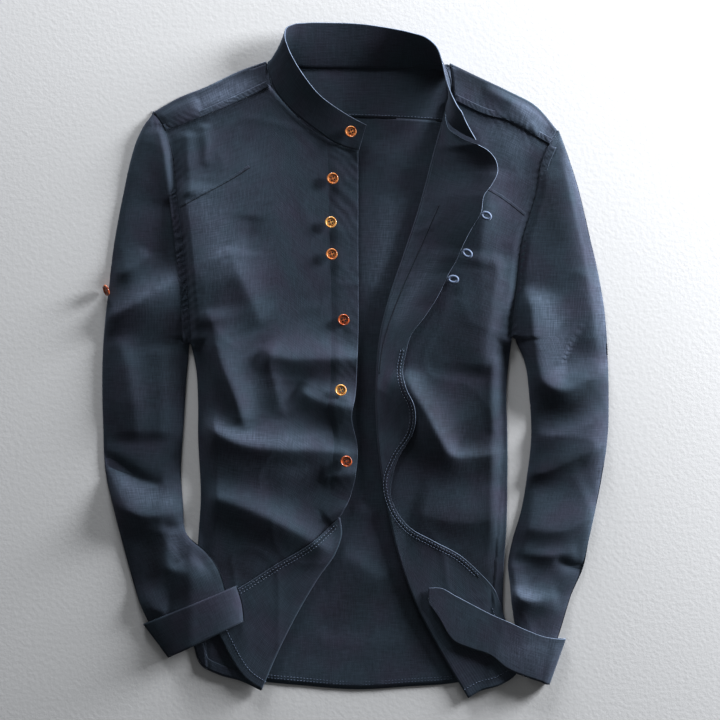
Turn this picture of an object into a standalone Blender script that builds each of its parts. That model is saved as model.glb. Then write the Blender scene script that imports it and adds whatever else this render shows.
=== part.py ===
"""Band-collar dress shirt, laid open on a flat surface.

The neck points to +Y, the surface is z = 0, and left and right are as seen from above.
The left front carries the buttons. The right front carries the fabric loops, and its edge is
turned outward. Both lower corners are turned outward too, and the cuffs are turned up.
All tables are in millimetres; meshes are made in metres.
"""

import math

import bmesh
import bpy
import numpy as np

MM = 0.001

# Cloth
WALL = 1.2  # thickness of each cloth wall
GAP = 0.4  # free space between pieces that lie on each other
SEAM = 0.7  # how far each piece stops short of a shared seam line
FLOOR_Z = WALL / 2  # middle of a wall that rests on the surface
SEAM_Z = 5.0  # middle of the upper layer at the shoulder and armhole seams
HEM_Z = 4.2  # middle of the front layer near the hem
SIDE_Z = FLOOR_Z + WALL + GAP  # middle of a front at its side seam
SIDE_REACH = 20.0  # how far from its side seam a front reaches its level
SEAM_REACH = 9.0  # how far from a seam the folds begin
FOLD_FADE = 8.0  # a fold reaches its height after an eighth of its length
FOLD_SHARPNESS = 1.5
FOLD_LIFT = 1.2  # what every fold's rise is multiplied by
TURN_RADIUS = 1.6  # radius of a turned-out edge
SHOULDER_RADIUS = (SEAM_Z - FLOOR_Z) / 2

# Buttons and loops
BUTTON_RADIUS = 6.35
BUTTON_HEIGHT = 2.8
BUTTON_LIFT = 0.2  # thread shank between placket and button
LOOP_RADIUS = 1.4
LOOP_REACH = 8.5
LOOP_SPREAD = 2.9
LOOP_ROOT = 2.8  # from the flap's edge to the middle of the loop's ends

# Outlines, x and y of each point.
SHOULDER_LEFT = ((-222, 273), (-194, 289), (-164, 301), (-126, 319), (-98, 329))
SHOULDER_RIGHT = ((104, 327), (131, 314), (169, 296), (197, 281), (222, 253))
NECK_BACK = ((-98, 325), (-80, 321), (-30, 320), (30, 320), (80, 321), (104, 324))
YOKE_SEAM_BACK = ((-212.5, 261), (-116, 267), (16, 268), (115, 261), (213, 240))
YOKE_SEAM_LEFT = ((-209, 253), (-164, 270), (-114, 292), (-95, 301))
YOKE_SEAM_RIGHT = ((109, 286), (144, 270), (167, 264), (194, 249), (213, 238))
YOKE_NECK_LEFT = ((-98, 329), (-98, 315), (-95, 301))
YOKE_NECK_RIGHT = ((104, 327), (107, 314), (108, 300), (109, 286))
ARMHOLE_LEFT = (
    (-181, 20), (-182, 40), (-185, 84), (-190, 133), (-195, 172),
    (-198, 200), (-203, 233), (-209, 253), (-222, 273),
)
ARMHOLE_RIGHT = (
    (172, 28), (174, 55), (178, 86), (184, 133), (192, 160),
    (200, 188), (204, 216), (213, 238), (222, 253),
)
SIDE_LEFT = ((-177, -312), (-175, -263), (-173, -199), (-170, -150), (-173, -81), (-173, -44), (-175, -9), (-181, 20))
SIDE_RIGHT = ((170, -322), (163, -285), (163, -230), (166, -182), (167, -131), (167, -84), (166, -31), (172, 28))
HEM_LEFT = ((-177, -312), (-169, -333), (-151, -343), (-124, -351), (-103, -361))
HEM_RIGHT = ((124, -370), (145, -358), (162, -345), (170, -322))
HEM_BACK = ((-175, -316), (-167, -332), (-124, -348), (-56, -357), (5, -361), (56, -358), (114, -353), (152, -343), (168, -324))

# Left front: neckline, front edge, and the corner turned out below its apex.
NECK_LEFT = ((-95, 301), (-78, 281), (-56, 258), (-27, 240), (3, 230))
EDGE_LEFT = ((-17, -172), (-7, -153), (-1, -131), (2, -94), (-4, -58), (-1, -43), (2, 1), (3, 133), (3, 230))
CORNER_FOLD_LEFT = ((-103, -361), (-83, -315), (-61, -272), (-40, -237), (-21, -209), (-15, -189), (-17, -172))
CORNER_EDGE_LEFT = ((-164, -270), (-116, -242), (-88, -224), (-50, -201), (-23, -177))
CORNER_HEM_LEFT = ((-103, -361), (-117, -352), (-147, -307), (-164, -270))

# Right front: the turned-out edge and corner are one flap along the whole fold.
NECK_RIGHT = ((98, 271), (103, 284), (109, 286))
FOLD_RIGHT = (
    (124, -370), (93, -318), (62, -257), (47, -213), (38, -175), (30, -133), (26, -103), (23, -65),
    (23, -15), (27, 29), (38, 73), (53, 117), (71, 172), (84, 221), (92, 250), (98, 271),
)
FLAP_EDGE = (
    (160, -268), (152, -250), (136, -232), (116, -214), (85, -197), (59, -182), (42, -158), (37, -133),
    (46, -107), (63, -79), (66, -62), (64, -48), (56, -31), (52, -13), (55, 7), (61, 28), (75, 47),
    (90, 70), (97, 84), (102, 95), (110, 109), (117, 125), (126, 143), (137, 162), (140, 180),
    (148, 191), (155, 207), (154, 215), (145, 228), (133, 235),
)
FLAP_HEM = ((124, -370), (136, -363), (161, -355), (177, -343), (174, -320), (160, -268))
FLAP_NECK = ((98, 271), (102, 255), (115, 244), (133, 235))
# How high the flap stands above the front along its edge: y, rise.
FLAP_RISE = ((60, 0), (96, 4), (119, 10), (162, 22), (190, 29), (235, 33))

# Collar band, from its left end round the back to its right end.
# Each row: seam x, y, z and top edge x, y, z.
COLLAR_SECTIONS = (
    (4, 231, 8, 12, 259, 10),
    (-12, 235, 8, -4, 267, 13),
    (-27, 242, 8, -19, 276, 16),
    (-41, 252, 8, -32, 285, 18),
    (-61, 267, 8, -44, 296, 20),
    (-76, 281, 8, -55, 310, 22),
    (-90, 301, 8, -66, 327, 23),
    (-94, 316, 8, -73, 341, 24),
    (-94, 328, 7.6, -77, 355, 24),
    (-88, 329, 6, -76, 363, 22),
    (-78, 326, 4, -68, 368, 19),
    (-59, 323, 2.8, -55, 370, 16),
    (-28, 322, 2.6, -28, 370.5, 14),
    (5, 322, 2.6, 5, 369, 15),
    (38, 322, 2.6, 38, 364, 18),
    (64, 323, 3.4, 62, 358, 25),
    (84, 326, 6, 79, 351, 32),
    (97, 323, 8, 89, 340, 38),
    (102, 312, 8.6, 94, 325, 41),
    (104, 300, 8.6, 98, 307, 43),
    (102, 288, 10, 103, 292, 45),
    (99, 277, 12, 108, 281, 47),
    (103, 260, 20, 112, 274, 48),
    (115, 249, 32, 115, 270, 49),
    (131, 240, 42, 117, 265, 49),
)

# Sleeves, from the shoulder to inside the cuff.
# Each row: outer edge x, y and inner edge x, y. The inner edge follows the armhole above ARMPIT.
SLEEVE_LEFT_SECTIONS = (
    (-223.5, 271, -220, 269),
    (-232, 259, -213, 258),
    (-240, 243, -207, 243),
    (-247, 220, -202, 222),
    (-255, 183, -197, 190),
    (-261, 152, -192, 155),
    (-266, 122, -188, 120),
    (-271, 78, -184, 78),
    (-275, 42, -182, 40),
    (-277, 17, -183, 16),
    (-278, -25, -186, -20),
    (-277, -69, -189, -69),
    (-274, -125, -192, -122),
    (-266, -160, -190, -155),
    (-255, -203, -185, -190),
    (-246, -236, -163, -210),
    (-238, -262, -150, -228),
    (-230, -281, -143, -248),
    (-221, -298, -139, -266),
)
SLEEVE_RIGHT_SECTIONS = (
    (224.5, 250, 219.5, 247.5),
    (229, 238, 212, 236),
    (234, 224, 206, 221),
    (243, 196, 200, 195),
    (252, 160, 192, 160),
    (258, 133, 184, 133),
    (264, 108, 181, 108),
    (268, 88, 178, 88),
    (273, 58, 174, 57),
    (276, 26, 176, 24),
    (277, 3, 185, 3),
    (278, -44, 191.5, -40),
    (277, -81, 193.5, -80),
    (270, -131, 188.5, -129),
    (262.5, -168, 182, -166),
    (256, -198, 173, -196),
    (250, -227, 168, -222),
    (237, -257, 170, -244),
    (226, -292, 172, -268),
    (219, -314, 175, -290),
)
ARMPIT_Y = 26.0
SLEEVE_HEIGHT = SEAM_Z - FLOOR_Z  # between the middles of its two layers

# Left cuff, turned up over the sleeve's end: outer x, y and inner x, y.
CUFF_LEFT_SECTIONS = (
    (-233, -289, -130, -246),
    (-219.5, -307, -124, -266),
    (-205.5, -326, -122, -285),
)
# The sleeve end and its cuff lie on the body's corner beyond this line: x where the climb starts and ends.
LEFT_CLIMB = (-208.0, -178.0)
LEFT_CLIMB_HEIGHT = 8.4
CUFF_STEP = 2.7  # between the cuff's wall and the sleeve's wall inside it

# Right cuff, opened out: top edge x, y, bottom edge x, y, and height, from its left end to the turned end and under.
CUFF_RIGHT_SECTIONS = (
    (80, -249, 80, -265, 9.6),
    (93, -249, 91, -281, 9.8),
    (109, -257, 108, -308, 10),
    (126, -266, 126, -316, 10),
    (147, -277, 147, -323, 10),
    (170, -287, 168, -339, 10.3),
    (190, -296, 188, -347, 10.8),
    (210, -303, 203, -352, 10.2),
    (226, -305, 210, -355, 8.4),
    (231, -305, 213, -355, 5),
    (226, -305, 210, -354, 1.4),
    (210, -303, 203, -351, FLOOR_Z),
    (190, -297, 189, -346, FLOOR_Z),
)

# Largest folds. Each row of a crest: x, y, its width on the left and on the right, and its height.
FOLDS_LEFT = (
    ((-108, 12, 12, 14, 5), (-72, 2, 20, 18, 8), (-39, 2, 20, 20, 8), (3, 2, 8, 18, 6), (30, 2, 8, 18, 6)),
    ((-66, -28, 10, 16, 4), (-45, -42, 15, 24, 8), (-23, -48, 17, 26, 10), (7, -53, 12, 24, 8), (30, -55, 9, 20, 6)),
    (
        (-178, -58, 10, 18, 6), (-147, -82, 16, 20, 10), (-119, -93, 19, 24, 12), (-84, -97, 27, 26, 13),
        (-50, -98, 21, 24, 11), (-17, -101, 8, 22, 6), (10, -104, 6, 18, 4),
    ),
    (
        (-178, -148, 18, 22, 6), (-133, -157, 20, 26, 11), (-108, -167, 20, 28, 11), (-83, -179, 18, 28, 10),
        (-50, -197, 16, 26, 6), (-20, -215, 12, 20, 4),
    ),
    ((-160, 60, 26, 20, 4), (-150, 10, 26, 18, 8), (-130, -44, 18, 15, 9), (-119, -78, 9, 12, 4)),
    ((-104, 20, 12, 14, 2), (-92, -14, 13, 16, 4), (-84, -44, 12, 14, 3), (-78, -66, 10, 12, 1)),
    ((-192, 205, 40, 12, 4), (-188, 150, 58, 12, 8), (-178, 92, 50, 12, 7), (-170, 30, 34, 12, 3)),
    ((-184, 254, 14, 8, 3), (-184, 216, 14, 7, 4), (-180, 176, 12, 7, 2)),
    ((-152, -170, 50, 90, 2), (-150, -60, 50, 110, 5), (-148, 120, 50, 110, 5), (-148, 250, 50, 90, 3)),
    ((-142, 128, 16, 24, 2), (-128, 94, 16, 24, 5), (-112, 60, 14, 22, 4), (-102, 34, 12, 18, 2)),
)
FOLDS_RIGHT = (
    (
        (52, -4, 10, 14, 4), (61, -31, 12, 18, 9), (76, -55, 13, 22, 11), (91, -83, 13, 24, 12),
        (106, -104, 10, 24, 9), (131, -105, 9, 22, 6), (180, -98, 9, 18, 4),
    ),
    ((158, 10, 14, 9, 2), (157, -30, 16, 9, 4), (156, -64, 14, 9, 3), (156, -84, 12, 9, 1)),
    ((60, -166, 30, 26, 3), (115, -177, 30, 26, 6), (180, -168, 30, 24, 5)),
    ((157, 120, 12, 50, 3), (150, 70, 14, 54, 6), (143, 20, 16, 50, 5), (140, -20, 14, 30, 2)),
    ((138, -190, 100, 40, 2), (136, -60, 110, 40, 5), (138, 90, 110, 40, 5), (140, 205, 90, 40, 2)),
    ((150, 215, 16, 24, 2), (142, 160, 18, 30, 4), (134, 100, 18, 28, 2)),
)
FOLDS_SLEEVE_LEFT = (
    ((-211, 262, 7, 18, 2), (-207, 232, 7, 20, 5), (-201, 196, 8, 20, 5), (-200, 168, 8, 16, 1)),
    ((-288, 42, 14, 18, 5), (-256, 54, 17, 22, 9), (-232, 66, 19, 26, 11), (-208, 80, 17, 28, 9), (-186, 98, 12, 24, 3)),
    ((-262, 30, 12, 24, 2), (-250, -10, 14, 30, 4), (-242, -60, 16, 30, 5), (-240, -92, 14, 20, 2)),
    ((-214, 20, 14, 24, 2), (-212, -30, 16, 26, 4), (-214, -90, 14, 24, 2)),
    (
        (-290, -140, 20, 14, 5), (-250, -164, 26, 16, 10), (-228, -170, 28, 18, 10), (-206, -168, 28, 18, 9),
        (-178, -164, 24, 16, 7),
    ),
    ((-204, -178, 14, 18, 2), (-207, -203, 14, 20, 6), (-203, -228, 12, 20, 7), (-188, -232, 12, 16, 5), (-166, -219, 10, 12, 3)),
)
FOLDS_SLEEVE_RIGHT = (
    (
        (188, 86, 12, 10, 3), (192, 58, 24, 12, 8), (195, 20, 30, 12, 11), (204, -22, 24, 18, 12),
        (228, -32, 18, 22, 12), (254, -22, 15, 20, 10), (290, 0, 14, 18, 6),
    ),
    ((188, -84, 14, 20, 3), (222, -82, 16, 20, 6), (256, -68, 15, 20, 6), (290, -48, 14, 16, 4)),
    ((180, -126, 22, 10, 4), (214, -120, 24, 9, 7), (246, -106, 24, 9, 8), (290, -84, 20, 9, 6)),
    ((224, 228, 8, 30, 2), (237, 170, 9, 46, 5), (250, 110, 9, 54, 6), (260, 50, 9, 40, 5), (266, 0, 9, 26, 2)),
    ((178, -182, 34, 16, 4), (225, -186, 34, 16, 6), (272, -168, 34, 16, 4)),
    ((164, -218, 14, 10, 4), (170, -246, 15, 10, 7), (177, -258, 15, 12, 7), (206, -262, 14, 12, 4), (226, -258, 12, 10, 1)),
)

# Buttons: name, x, y.
BUTTONS_ON_PLACKET = (
    ("button_1", -25, 200),
    ("button_2", -27, 152),
    ("button_3", -26, 117),
    ("button_4", -13, 45),
    ("button_5", -16, -32),
    ("button_6", -10, -110),
)
COLLAR_BUTTON = (-5, 251)
SLEEVE_BUTTON = (-272, 78, 6.8)
SLEEVE_BUTTON_TILT = math.radians(-62)
# Loops on the flap's edge: name, x, y, direction in degrees.
LOOPS = (
    ("loop_1", 136, 161, -25),
    ("loop_2", 116, 121, -30),
    ("loop_3", 100, 90, -5),
)

NAVY = (0.030, 0.038, 0.060, 1.0)
NAVY_INSIDE = (0.036, 0.045, 0.068, 1.0)
HORN = (0.62, 0.25, 0.06, 1.0)


def clear_scene():
    for old in list(bpy.data.objects):
        bpy.data.objects.remove(old, do_unlink=True)


def make_material(name, colour, roughness):
    """A plain Principled finish."""
    finish = bpy.data.materials.new(name)
    finish.use_nodes = True
    shader = finish.node_tree.nodes["Principled BSDF"]
    shader.inputs["Base Color"].default_value = colour
    shader.inputs["Roughness"].default_value = roughness
    shader.inputs["Metallic"].default_value = 0.0
    return finish


def smooth(value):
    """0 below 0, 1 above 1, and a soft step between."""
    value = np.clip(value, 0.0, 1.0)
    return value * value * (3 - 2 * value)


def spline(table, count):
    """count rows, evenly spaced, on a smooth curve through the rows of the table."""
    knots = np.array(table, dtype=float)
    places = np.concatenate([[0], np.cumsum(np.linalg.norm(np.diff(knots, axis=0), axis=1))])
    slopes = np.gradient(knots, places, axis=0)
    fine = np.linspace(0, places[-1], 24 * len(knots))
    cell = np.clip(np.searchsorted(places, fine, side="right") - 1, 0, len(knots) - 2)
    width = (places[cell + 1] - places[cell])[:, None]
    t = (fine[:, None] - places[cell][:, None]) / width
    curve = (
        (2 * t**3 - 3 * t**2 + 1) * knots[cell]
        + (t**3 - 2 * t**2 + t) * width * slopes[cell]
        + (3 * t**2 - 2 * t**3) * knots[cell + 1]
        + (t**3 - t**2) * width * slopes[cell + 1]
    )
    along = np.concatenate([[0], np.cumsum(np.linalg.norm(np.diff(curve, axis=0), axis=1))])
    wanted = np.linspace(0, along[-1], count)
    return np.stack([np.interp(wanted, along, column) for column in curve.T], axis=1)


def at_shares(points, shares):
    """Points at the given shares of a curve's length."""
    along = np.concatenate([[0], np.cumsum(np.linalg.norm(np.diff(points, axis=0), axis=1))])
    return np.stack([np.interp(shares * along[-1], along, column) for column in points.T], axis=1)


def chained(parts):
    """Joins (table, cells) pairs end to end into one row of points."""
    points = [spline(table, cells + 1) for table, cells in parts]
    return np.concatenate([points[0]] + [piece[1:] for piece in points[1:]])


def moved_sideways(points, distance):
    """Moves a curve to its left by distance."""
    along = np.gradient(points, axis=0)
    along /= np.linalg.norm(along, axis=1)[:, None]
    return points + distance * np.stack([-along[:, 1], along[:, 0]], axis=1)


def coons(bottom, top, left, right, shares=None):
    """Rows of points that fill the area between four curves with shared corners."""
    v = np.linspace(0, 1, len(left))[:, None, None]
    u = (np.linspace(0, 1, len(bottom)) if shares is None else shares)[None, :, None]
    across = (1 - u) * left[:, None] + u * right[:, None]
    along = (1 - v) * bottom[None] + v * top[None]
    corners = (1 - v) * ((1 - u) * bottom[0] + u * bottom[-1]) + v * ((1 - u) * top[0] + u * top[-1])
    return across + along - corners


def strip_between(bottom, top, left, right):
    """Rows of points that fill a long strip: its ends follow their curves, its middle rows run straight."""
    u = np.linspace(0, 1, len(bottom))[None, :, None]
    v = np.linspace(0, 1, len(left))[:, None, None]
    straight = (1 - u) * left[:, None] + u * right[:, None]
    middle = smooth((v - 0.06) / 0.16) * smooth((0.95 - v) / 0.1)
    return coons(bottom, top, left, right) * (1 - middle) + straight * middle


def follow(plan, line):
    """Signed distance of each point from a curve, above 0 on its left, and its share of the curve."""
    start, step = line[:-1], np.diff(line, axis=0)
    offset = plan[..., None, :] - start
    t = np.clip((offset * step).sum(-1) / (step * step).sum(-1), 0, 1)
    distance = np.linalg.norm(offset - t[..., None] * step, axis=-1)
    nearest = distance.argmin(-1)[..., None]
    side = np.take_along_axis(step[:, 0] * offset[..., 1] - step[:, 1] * offset[..., 0], nearest, -1)[..., 0]
    share = (np.take_along_axis(t, nearest, -1)[..., 0] + nearest[..., 0]) / len(step)
    return distance.min(-1) * np.where(side < 0, -1.0, 1.0), share


def relief(plan, folds):
    """Height that the folds give each point: a crest with two unlike sides that dies out at both ends."""
    height = np.zeros(plan.shape[:-1])
    for crest in folds:
        line = spline(crest, 5 * len(crest))
        distance, share = follow(plan, line[:, :2])
        place = np.linspace(0, 1, len(line))
        left, right, rise = (np.interp(share, place, column) for column in line[:, 2:].T)
        blend = smooth(0.5 + distance / 6)
        width = left * blend + right * (1 - blend)
        fade = smooth(np.minimum(share, 1 - share) * FOLD_FADE)
        height += FOLD_LIFT * rise * fade * np.exp(-((np.abs(distance) / width) ** FOLD_SHARPNESS))
    return height


def x_on(table, y):
    """x of an upright curve at each y."""
    curve = spline(table, 80)
    order = np.argsort(curve[:, 1])
    return np.interp(y, curve[order, 1], curve[order, 0])


def raised(plan, z):
    """Plan points with their heights."""
    return np.concatenate([plan, np.broadcast_to(z, plan.shape[:-1])[..., None]], axis=-1)


def moved_out(sheet, distance):
    """A sheet moved along its own normals, upwards."""
    along, across = np.gradient(sheet, axis=0), np.gradient(sheet, axis=1)
    normal = np.cross(across, along)
    normal *= (np.sign(normal[..., 2]) / np.linalg.norm(normal, axis=-1))[..., None]
    return sheet + distance * normal


class Maker:
    """Makes each piece of the shirt as an object in the shirt's collection."""

    def __init__(self):
        self.collection = bpy.data.collections.new("band_collar_shirt")
        bpy.context.scene.collection.children.link(self.collection)
        self.cloth_finish = make_material("navy_linen", NAVY, 0.85)
        self.inside_finish = make_material("navy_linen_inside", NAVY_INSIDE, 0.88)
        self.horn_finish = make_material("horn_button", HORN, 0.35)

    def keep(self, name, data, finish):
        piece = bpy.data.objects.new(name, data)
        data.materials.append(finish)
        self.collection.objects.link(piece)
        return piece

    def cloth(self, name, sheets, finish=None):
        """One wall of cloth through sheets of points that share their edge points."""
        shape = bmesh.new()
        for sheet in sheets:
            rows, columns = sheet.shape[:2]
            points = [[shape.verts.new(point * MM) for point in row] for row in sheet]
            for row in range(rows - 1):
                for column in range(columns - 1):
                    shape.faces.new(
                        (
                            points[row][column],
                            points[row][column + 1],
                            points[row + 1][column + 1],
                            points[row + 1][column],
                        )
                    )
        bmesh.ops.remove_doubles(shape, verts=shape.verts, dist=0.02 * MM)
        bmesh.ops.recalc_face_normals(shape, faces=shape.faces)
        data = bpy.data.meshes.new(name)
        shape.to_mesh(data)
        shape.free()
        piece = self.keep(name, data, finish or self.cloth_finish)
        wall = piece.modifiers.new("wall", "SOLIDIFY")
        wall.thickness = WALL * MM
        wall.offset = 0.0
        piece.data.shade_smooth()
        return piece

    def button(self, name, place, tilt=(0.0, 0.0)):
        """A turned button with a raised rim and a dished middle."""
        outer, inner = BUTTON_RADIUS, BUTTON_RADIUS - 1.6
        profile = (
            (0.0, 1.9),
            (inner, 1.9),
            (outer - 0.9, BUTTON_HEIGHT),
            (outer, BUTTON_HEIGHT - 0.8),
            (outer - 0.8, 0.3),
            (0.0, 0.0),
        )
        shape = bmesh.new()
        corners = [shape.verts.new((x * MM, 0.0, z * MM)) for x, z in profile]
        for first, second in zip(corners, corners[1:]):
            shape.edges.new((first, second))
        data = bpy.data.meshes.new(name)
        shape.to_mesh(data)
        shape.free()
        piece = self.keep(name, data, self.horn_finish)
        turn = piece.modifiers.new("turn", "SCREW")
        turn.steps = turn.render_steps = 14
        turn.use_merge_vertices = True
        turn.merge_threshold = 0.01 * MM
        piece.location = [value * MM for value in place]
        piece.rotation_euler = (tilt[0], tilt[1], 0.0)
        return piece

    def loop(self, name, place, angle):
        """A narrow fabric loop that leaves an edge and comes back to it."""
        data = bpy.data.curves.new(name, "CURVE")
        data.dimensions = "3D"
        data.bevel_depth = LOOP_RADIUS * MM
        data.bevel_resolution = 1
        data.use_fill_caps = True
        run = data.splines.new("POLY")
        steps = 8
        run.points.add(steps)
        out = np.array([math.cos(angle), math.sin(angle)])
        side = np.array([-out[1], out[0]])
        for index in range(steps + 1):
            turn = math.pi * index / steps
            flat = place[:2] + out * LOOP_REACH * math.sin(turn) + side * LOOP_SPREAD * math.cos(turn)
            run.points[index].co = (flat[0] * MM, flat[1] * MM, place[2] * MM, 1.0)
        return self.keep(name, data, self.cloth_finish)


def front_height(plan, side, seams, folds):
    """Middle of a front's wall: down at the side seam, level at the seams above, raised by its folds."""
    x, y = plan[..., 0], plan[..., 1]
    level = HEM_Z + (SEAM_Z - HEM_Z) * smooth((y + 230) / 120)
    inward = np.abs(x) < np.abs(x_on(side, y))
    from_side = np.where(inward, np.abs(x - x_on(side, y)), 0.0)
    climb = np.maximum(smooth(from_side / SIDE_REACH), smooth((y - ARMPIT_Y + 18) / 18))
    held = climb
    for seam in seams:
        held = held * smooth(np.abs(follow(plan, spline(seam, 30))[0]) / SEAM_REACH)
    return SIDE_Z + (level - SIDE_Z) * climb + relief(plan, folds) * held


def left_front_height(plan):
    return front_height(plan, SIDE_LEFT, (ARMHOLE_LEFT, YOKE_SEAM_LEFT), FOLDS_LEFT)


def right_front_height(plan):
    return front_height(plan, SIDE_RIGHT, (ARMHOLE_RIGHT, YOKE_SEAM_RIGHT), FOLDS_RIGHT)


def flap_rise(plan):
    """How much the turned-out edge stands up: nothing at its fold, most at its edge near the neck."""
    ys, rises = zip(*FLAP_RISE)
    fold_x = x_on(FOLD_RIGHT, plan[..., 1])
    edge_y, edge_x = np.array(FLAP_EDGE[8:])[:, 1], np.array(FLAP_EDGE[8:])[:, 0]
    width = np.maximum(np.interp(plan[..., 1], edge_y, edge_x) - fold_x, 20.0)
    across = np.clip((plan[..., 0] - fold_x) / width, 0, 1.1)
    return np.interp(plan[..., 1], ys, rises) * across**1.2


def flap_height(plan):
    return right_front_height(plan) + 2 * TURN_RADIUS + flap_rise(plan)


def turned(fold, inward, height):
    """Rows that carry the cloth round a fold, from the layer below to the layer above."""
    base = fold + TURN_RADIUS * inward
    low = height(base)
    rows = []
    for angle in np.linspace(-math.pi / 2, math.pi / 2, 4):
        plan = base - TURN_RADIUS * math.cos(angle) * inward
        rows.append(raised(plan, low + TURN_RADIUS * (1 + math.sin(angle))))
    return np.stack(rows, axis=1)


def inward_normals(line, towards):
    """Unit plan directions across a fold line, towards +1 for its left side and -1 for its right."""
    return towards * (moved_sideways(line, 1.0) - line)


def make_back(maker):
    rows_side, rows_arm, columns = 10, 16, 8
    arm_left = ARMHOLE_LEFT[:-2] + YOKE_SEAM_BACK[:1]
    arm_right = ARMHOLE_RIGHT[:-2] + YOKE_SEAM_BACK[-1:]
    left = moved_sideways(chained(((SIDE_LEFT, rows_side), (arm_left, rows_arm))), -SEAM)
    right = moved_sideways(chained(((SIDE_RIGHT, rows_side), (arm_right, rows_arm))), SEAM)
    bottom = spline(HEM_BACK, columns + 1)
    top = spline(YOKE_SEAM_BACK, columns + 1) - (0, SEAM)
    left[0], right[0], left[-1], right[-1] = bottom[0], bottom[-1], top[0], top[-1]
    maker.cloth("back", [raised(coons(bottom, top, left, right), FLOOR_Z)], maker.inside_finish)


def make_yoke(maker):
    """Back part on the surface, turned forward over both shoulders down to the front seams."""
    shoulder_cells, neck_cells, deep_cells = 8, 12, 4
    inset = SHOULDER_RADIUS
    left_line = spline(SHOULDER_LEFT, shoulder_cells + 1)
    right_line = spline(SHOULDER_RIGHT, shoulder_cells + 1)
    left_in = inward_normals(left_line, -1)
    right_in = inward_normals(right_line, -1)
    neck = spline(NECK_BACK, neck_cells + 1)
    top_left = left_line + inset * left_in
    top_right = right_line + inset * right_in
    top = np.concatenate([top_left, neck[1:-1], top_right])
    bottom = spline(YOKE_SEAM_BACK, len(top)) + (0, SEAM)
    left = spline((bottom[0], top[0]), deep_cells + 1)
    right = spline((bottom[-1], top[-1]), deep_cells + 1)
    sheets = [raised(coons(bottom, top, left, right), FLOOR_Z)]
    for line, inward, seam, neck_edge, armhole, arm_first in (
        (left_line, left_in, YOKE_SEAM_LEFT, YOKE_NECK_LEFT, ARMHOLE_LEFT, True),
        (right_line, right_in, YOKE_SEAM_RIGHT, YOKE_NECK_RIGHT, ARMHOLE_RIGHT, False),
    ):
        base = line + inset * inward
        arc = []
        for angle in np.linspace(-math.pi / 2, math.pi / 2, 4):
            plan = base - inset * math.cos(angle) * inward
            arc.append(raised(plan, FLOOR_Z + inset * (1 + math.sin(angle))))
        sheets.append(np.stack(arc))
        low = moved_sideways(spline(seam, shoulder_cells + 1), SEAM)
        arm_end, neck_end = (0, -1) if arm_first else (-1, 0)
        neck_side = spline(neck_edge, 4)
        neck_side[0], neck_side[-1] = base[neck_end], low[neck_end]
        arm_side = spline((base[arm_end], low[arm_end]), 4)
        seam_x = x_on(armhole, arm_side[:, 1])
        arm_side[1:, 0] = (seam_x - 1.5 * SEAM * np.sign(seam_x))[1:]
        low[arm_end] = arm_side[-1]
        sides = (arm_side, neck_side) if arm_first else (neck_side, arm_side)
        sheets.append(raised(coons(base, low, *sides), SEAM_Z))
    maker.cloth("yoke", sheets)


def make_left_front(maker):
    corner_rows, edge_rows, flap_columns = 13, 24, 6
    shares = np.concatenate([np.linspace(0, 0.81, 10), np.linspace(0.81, 1, 4)[1:]])
    rows = corner_rows + edge_rows
    fold = spline(CORNER_FOLD_LEFT, corner_rows + 1)
    inward = inward_normals(fold, 1)
    left = moved_sideways(chained(((SIDE_LEFT, rows - 15), (ARMHOLE_LEFT[:-1], 15))), -SEAM)
    right = np.concatenate([fold + TURN_RADIUS * inward, spline(EDGE_LEFT, edge_rows + 1)[1:]])
    bottom = at_shares(spline(HEM_LEFT, 60), shares)
    top = at_shares(chained(((YOKE_SEAM_LEFT, 30), (NECK_LEFT, 30))), shares) - (0, SEAM)
    left[0], left[-1], right[-1] = bottom[0], top[0], top[-1]
    bottom[-1] = right[0]
    body = coons(bottom, top, left, right, shares)
    arc = turned(fold, inward, left_front_height)
    flap_side = fold + TURN_RADIUS * inward
    flap_edge = spline(CORNER_EDGE_LEFT, corner_rows + 1)
    flap_bottom = spline(CORNER_HEM_LEFT, flap_columns + 1)
    flap_top = spline((flap_side[-1], flap_edge[-1]), flap_columns + 1)
    flap_bottom[0] = flap_side[0]
    flap = coons(flap_bottom, flap_top, flap_side, flap_edge)
    wall = raised(body, left_front_height(body))
    maker.cloth("front_left", [wall, arc, raised(flap, left_front_height(flap) + 2 * TURN_RADIUS)])
    return wall[corner_rows + 1 :, -4:]


def make_placket(maker, edge_wall):
    """The buttoned band: the front's own points along its edge, moved out."""
    maker.cloth("placket_left", [moved_out(edge_wall, WALL + GAP)])


def make_right_front(maker):
    rows, columns, flap_columns = 39, 10, 4
    fold = spline(FOLD_RIGHT, rows + 1)
    inward = inward_normals(fold, -1)
    right = moved_sideways(chained(((SIDE_RIGHT, rows - 15), (ARMHOLE_RIGHT[:-1], 15))), SEAM)
    left = fold + TURN_RADIUS * inward
    bottom = spline(HEM_RIGHT, columns + 1)
    top = chained(((NECK_RIGHT, 1), (YOKE_SEAM_RIGHT, columns - 1))) - (0, SEAM)
    bottom[0], right[0], top[0], right[-1] = left[0], bottom[-1], left[-1], top[-1]
    body = coons(bottom, top, left, right)
    arc = turned(fold, inward, right_front_height)
    edge = spline(FLAP_EDGE, rows + 1)
    flap_bottom = spline(FLAP_HEM, flap_columns + 1)
    flap_top = spline(FLAP_NECK, flap_columns + 1)
    flap_bottom[0], flap_top[0], flap_top[-1] = left[0], left[-1], edge[-1]
    flap = strip_between(flap_bottom, flap_top, left, edge)
    sheets = [
        raised(body, right_front_height(body)),
        arc,
        raised(flap, flap_height(flap)),
    ]
    maker.cloth("front_right", sheets)


def make_collar(maker):
    sections = spline(COLLAR_SECTIONS, 40)
    across = np.linspace(0, 1, 4)[None, :, None]
    band = sections[:, None, :3] * (1 - across) + sections[:, None, 3:] * across
    maker.cloth("collar", [band])


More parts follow.
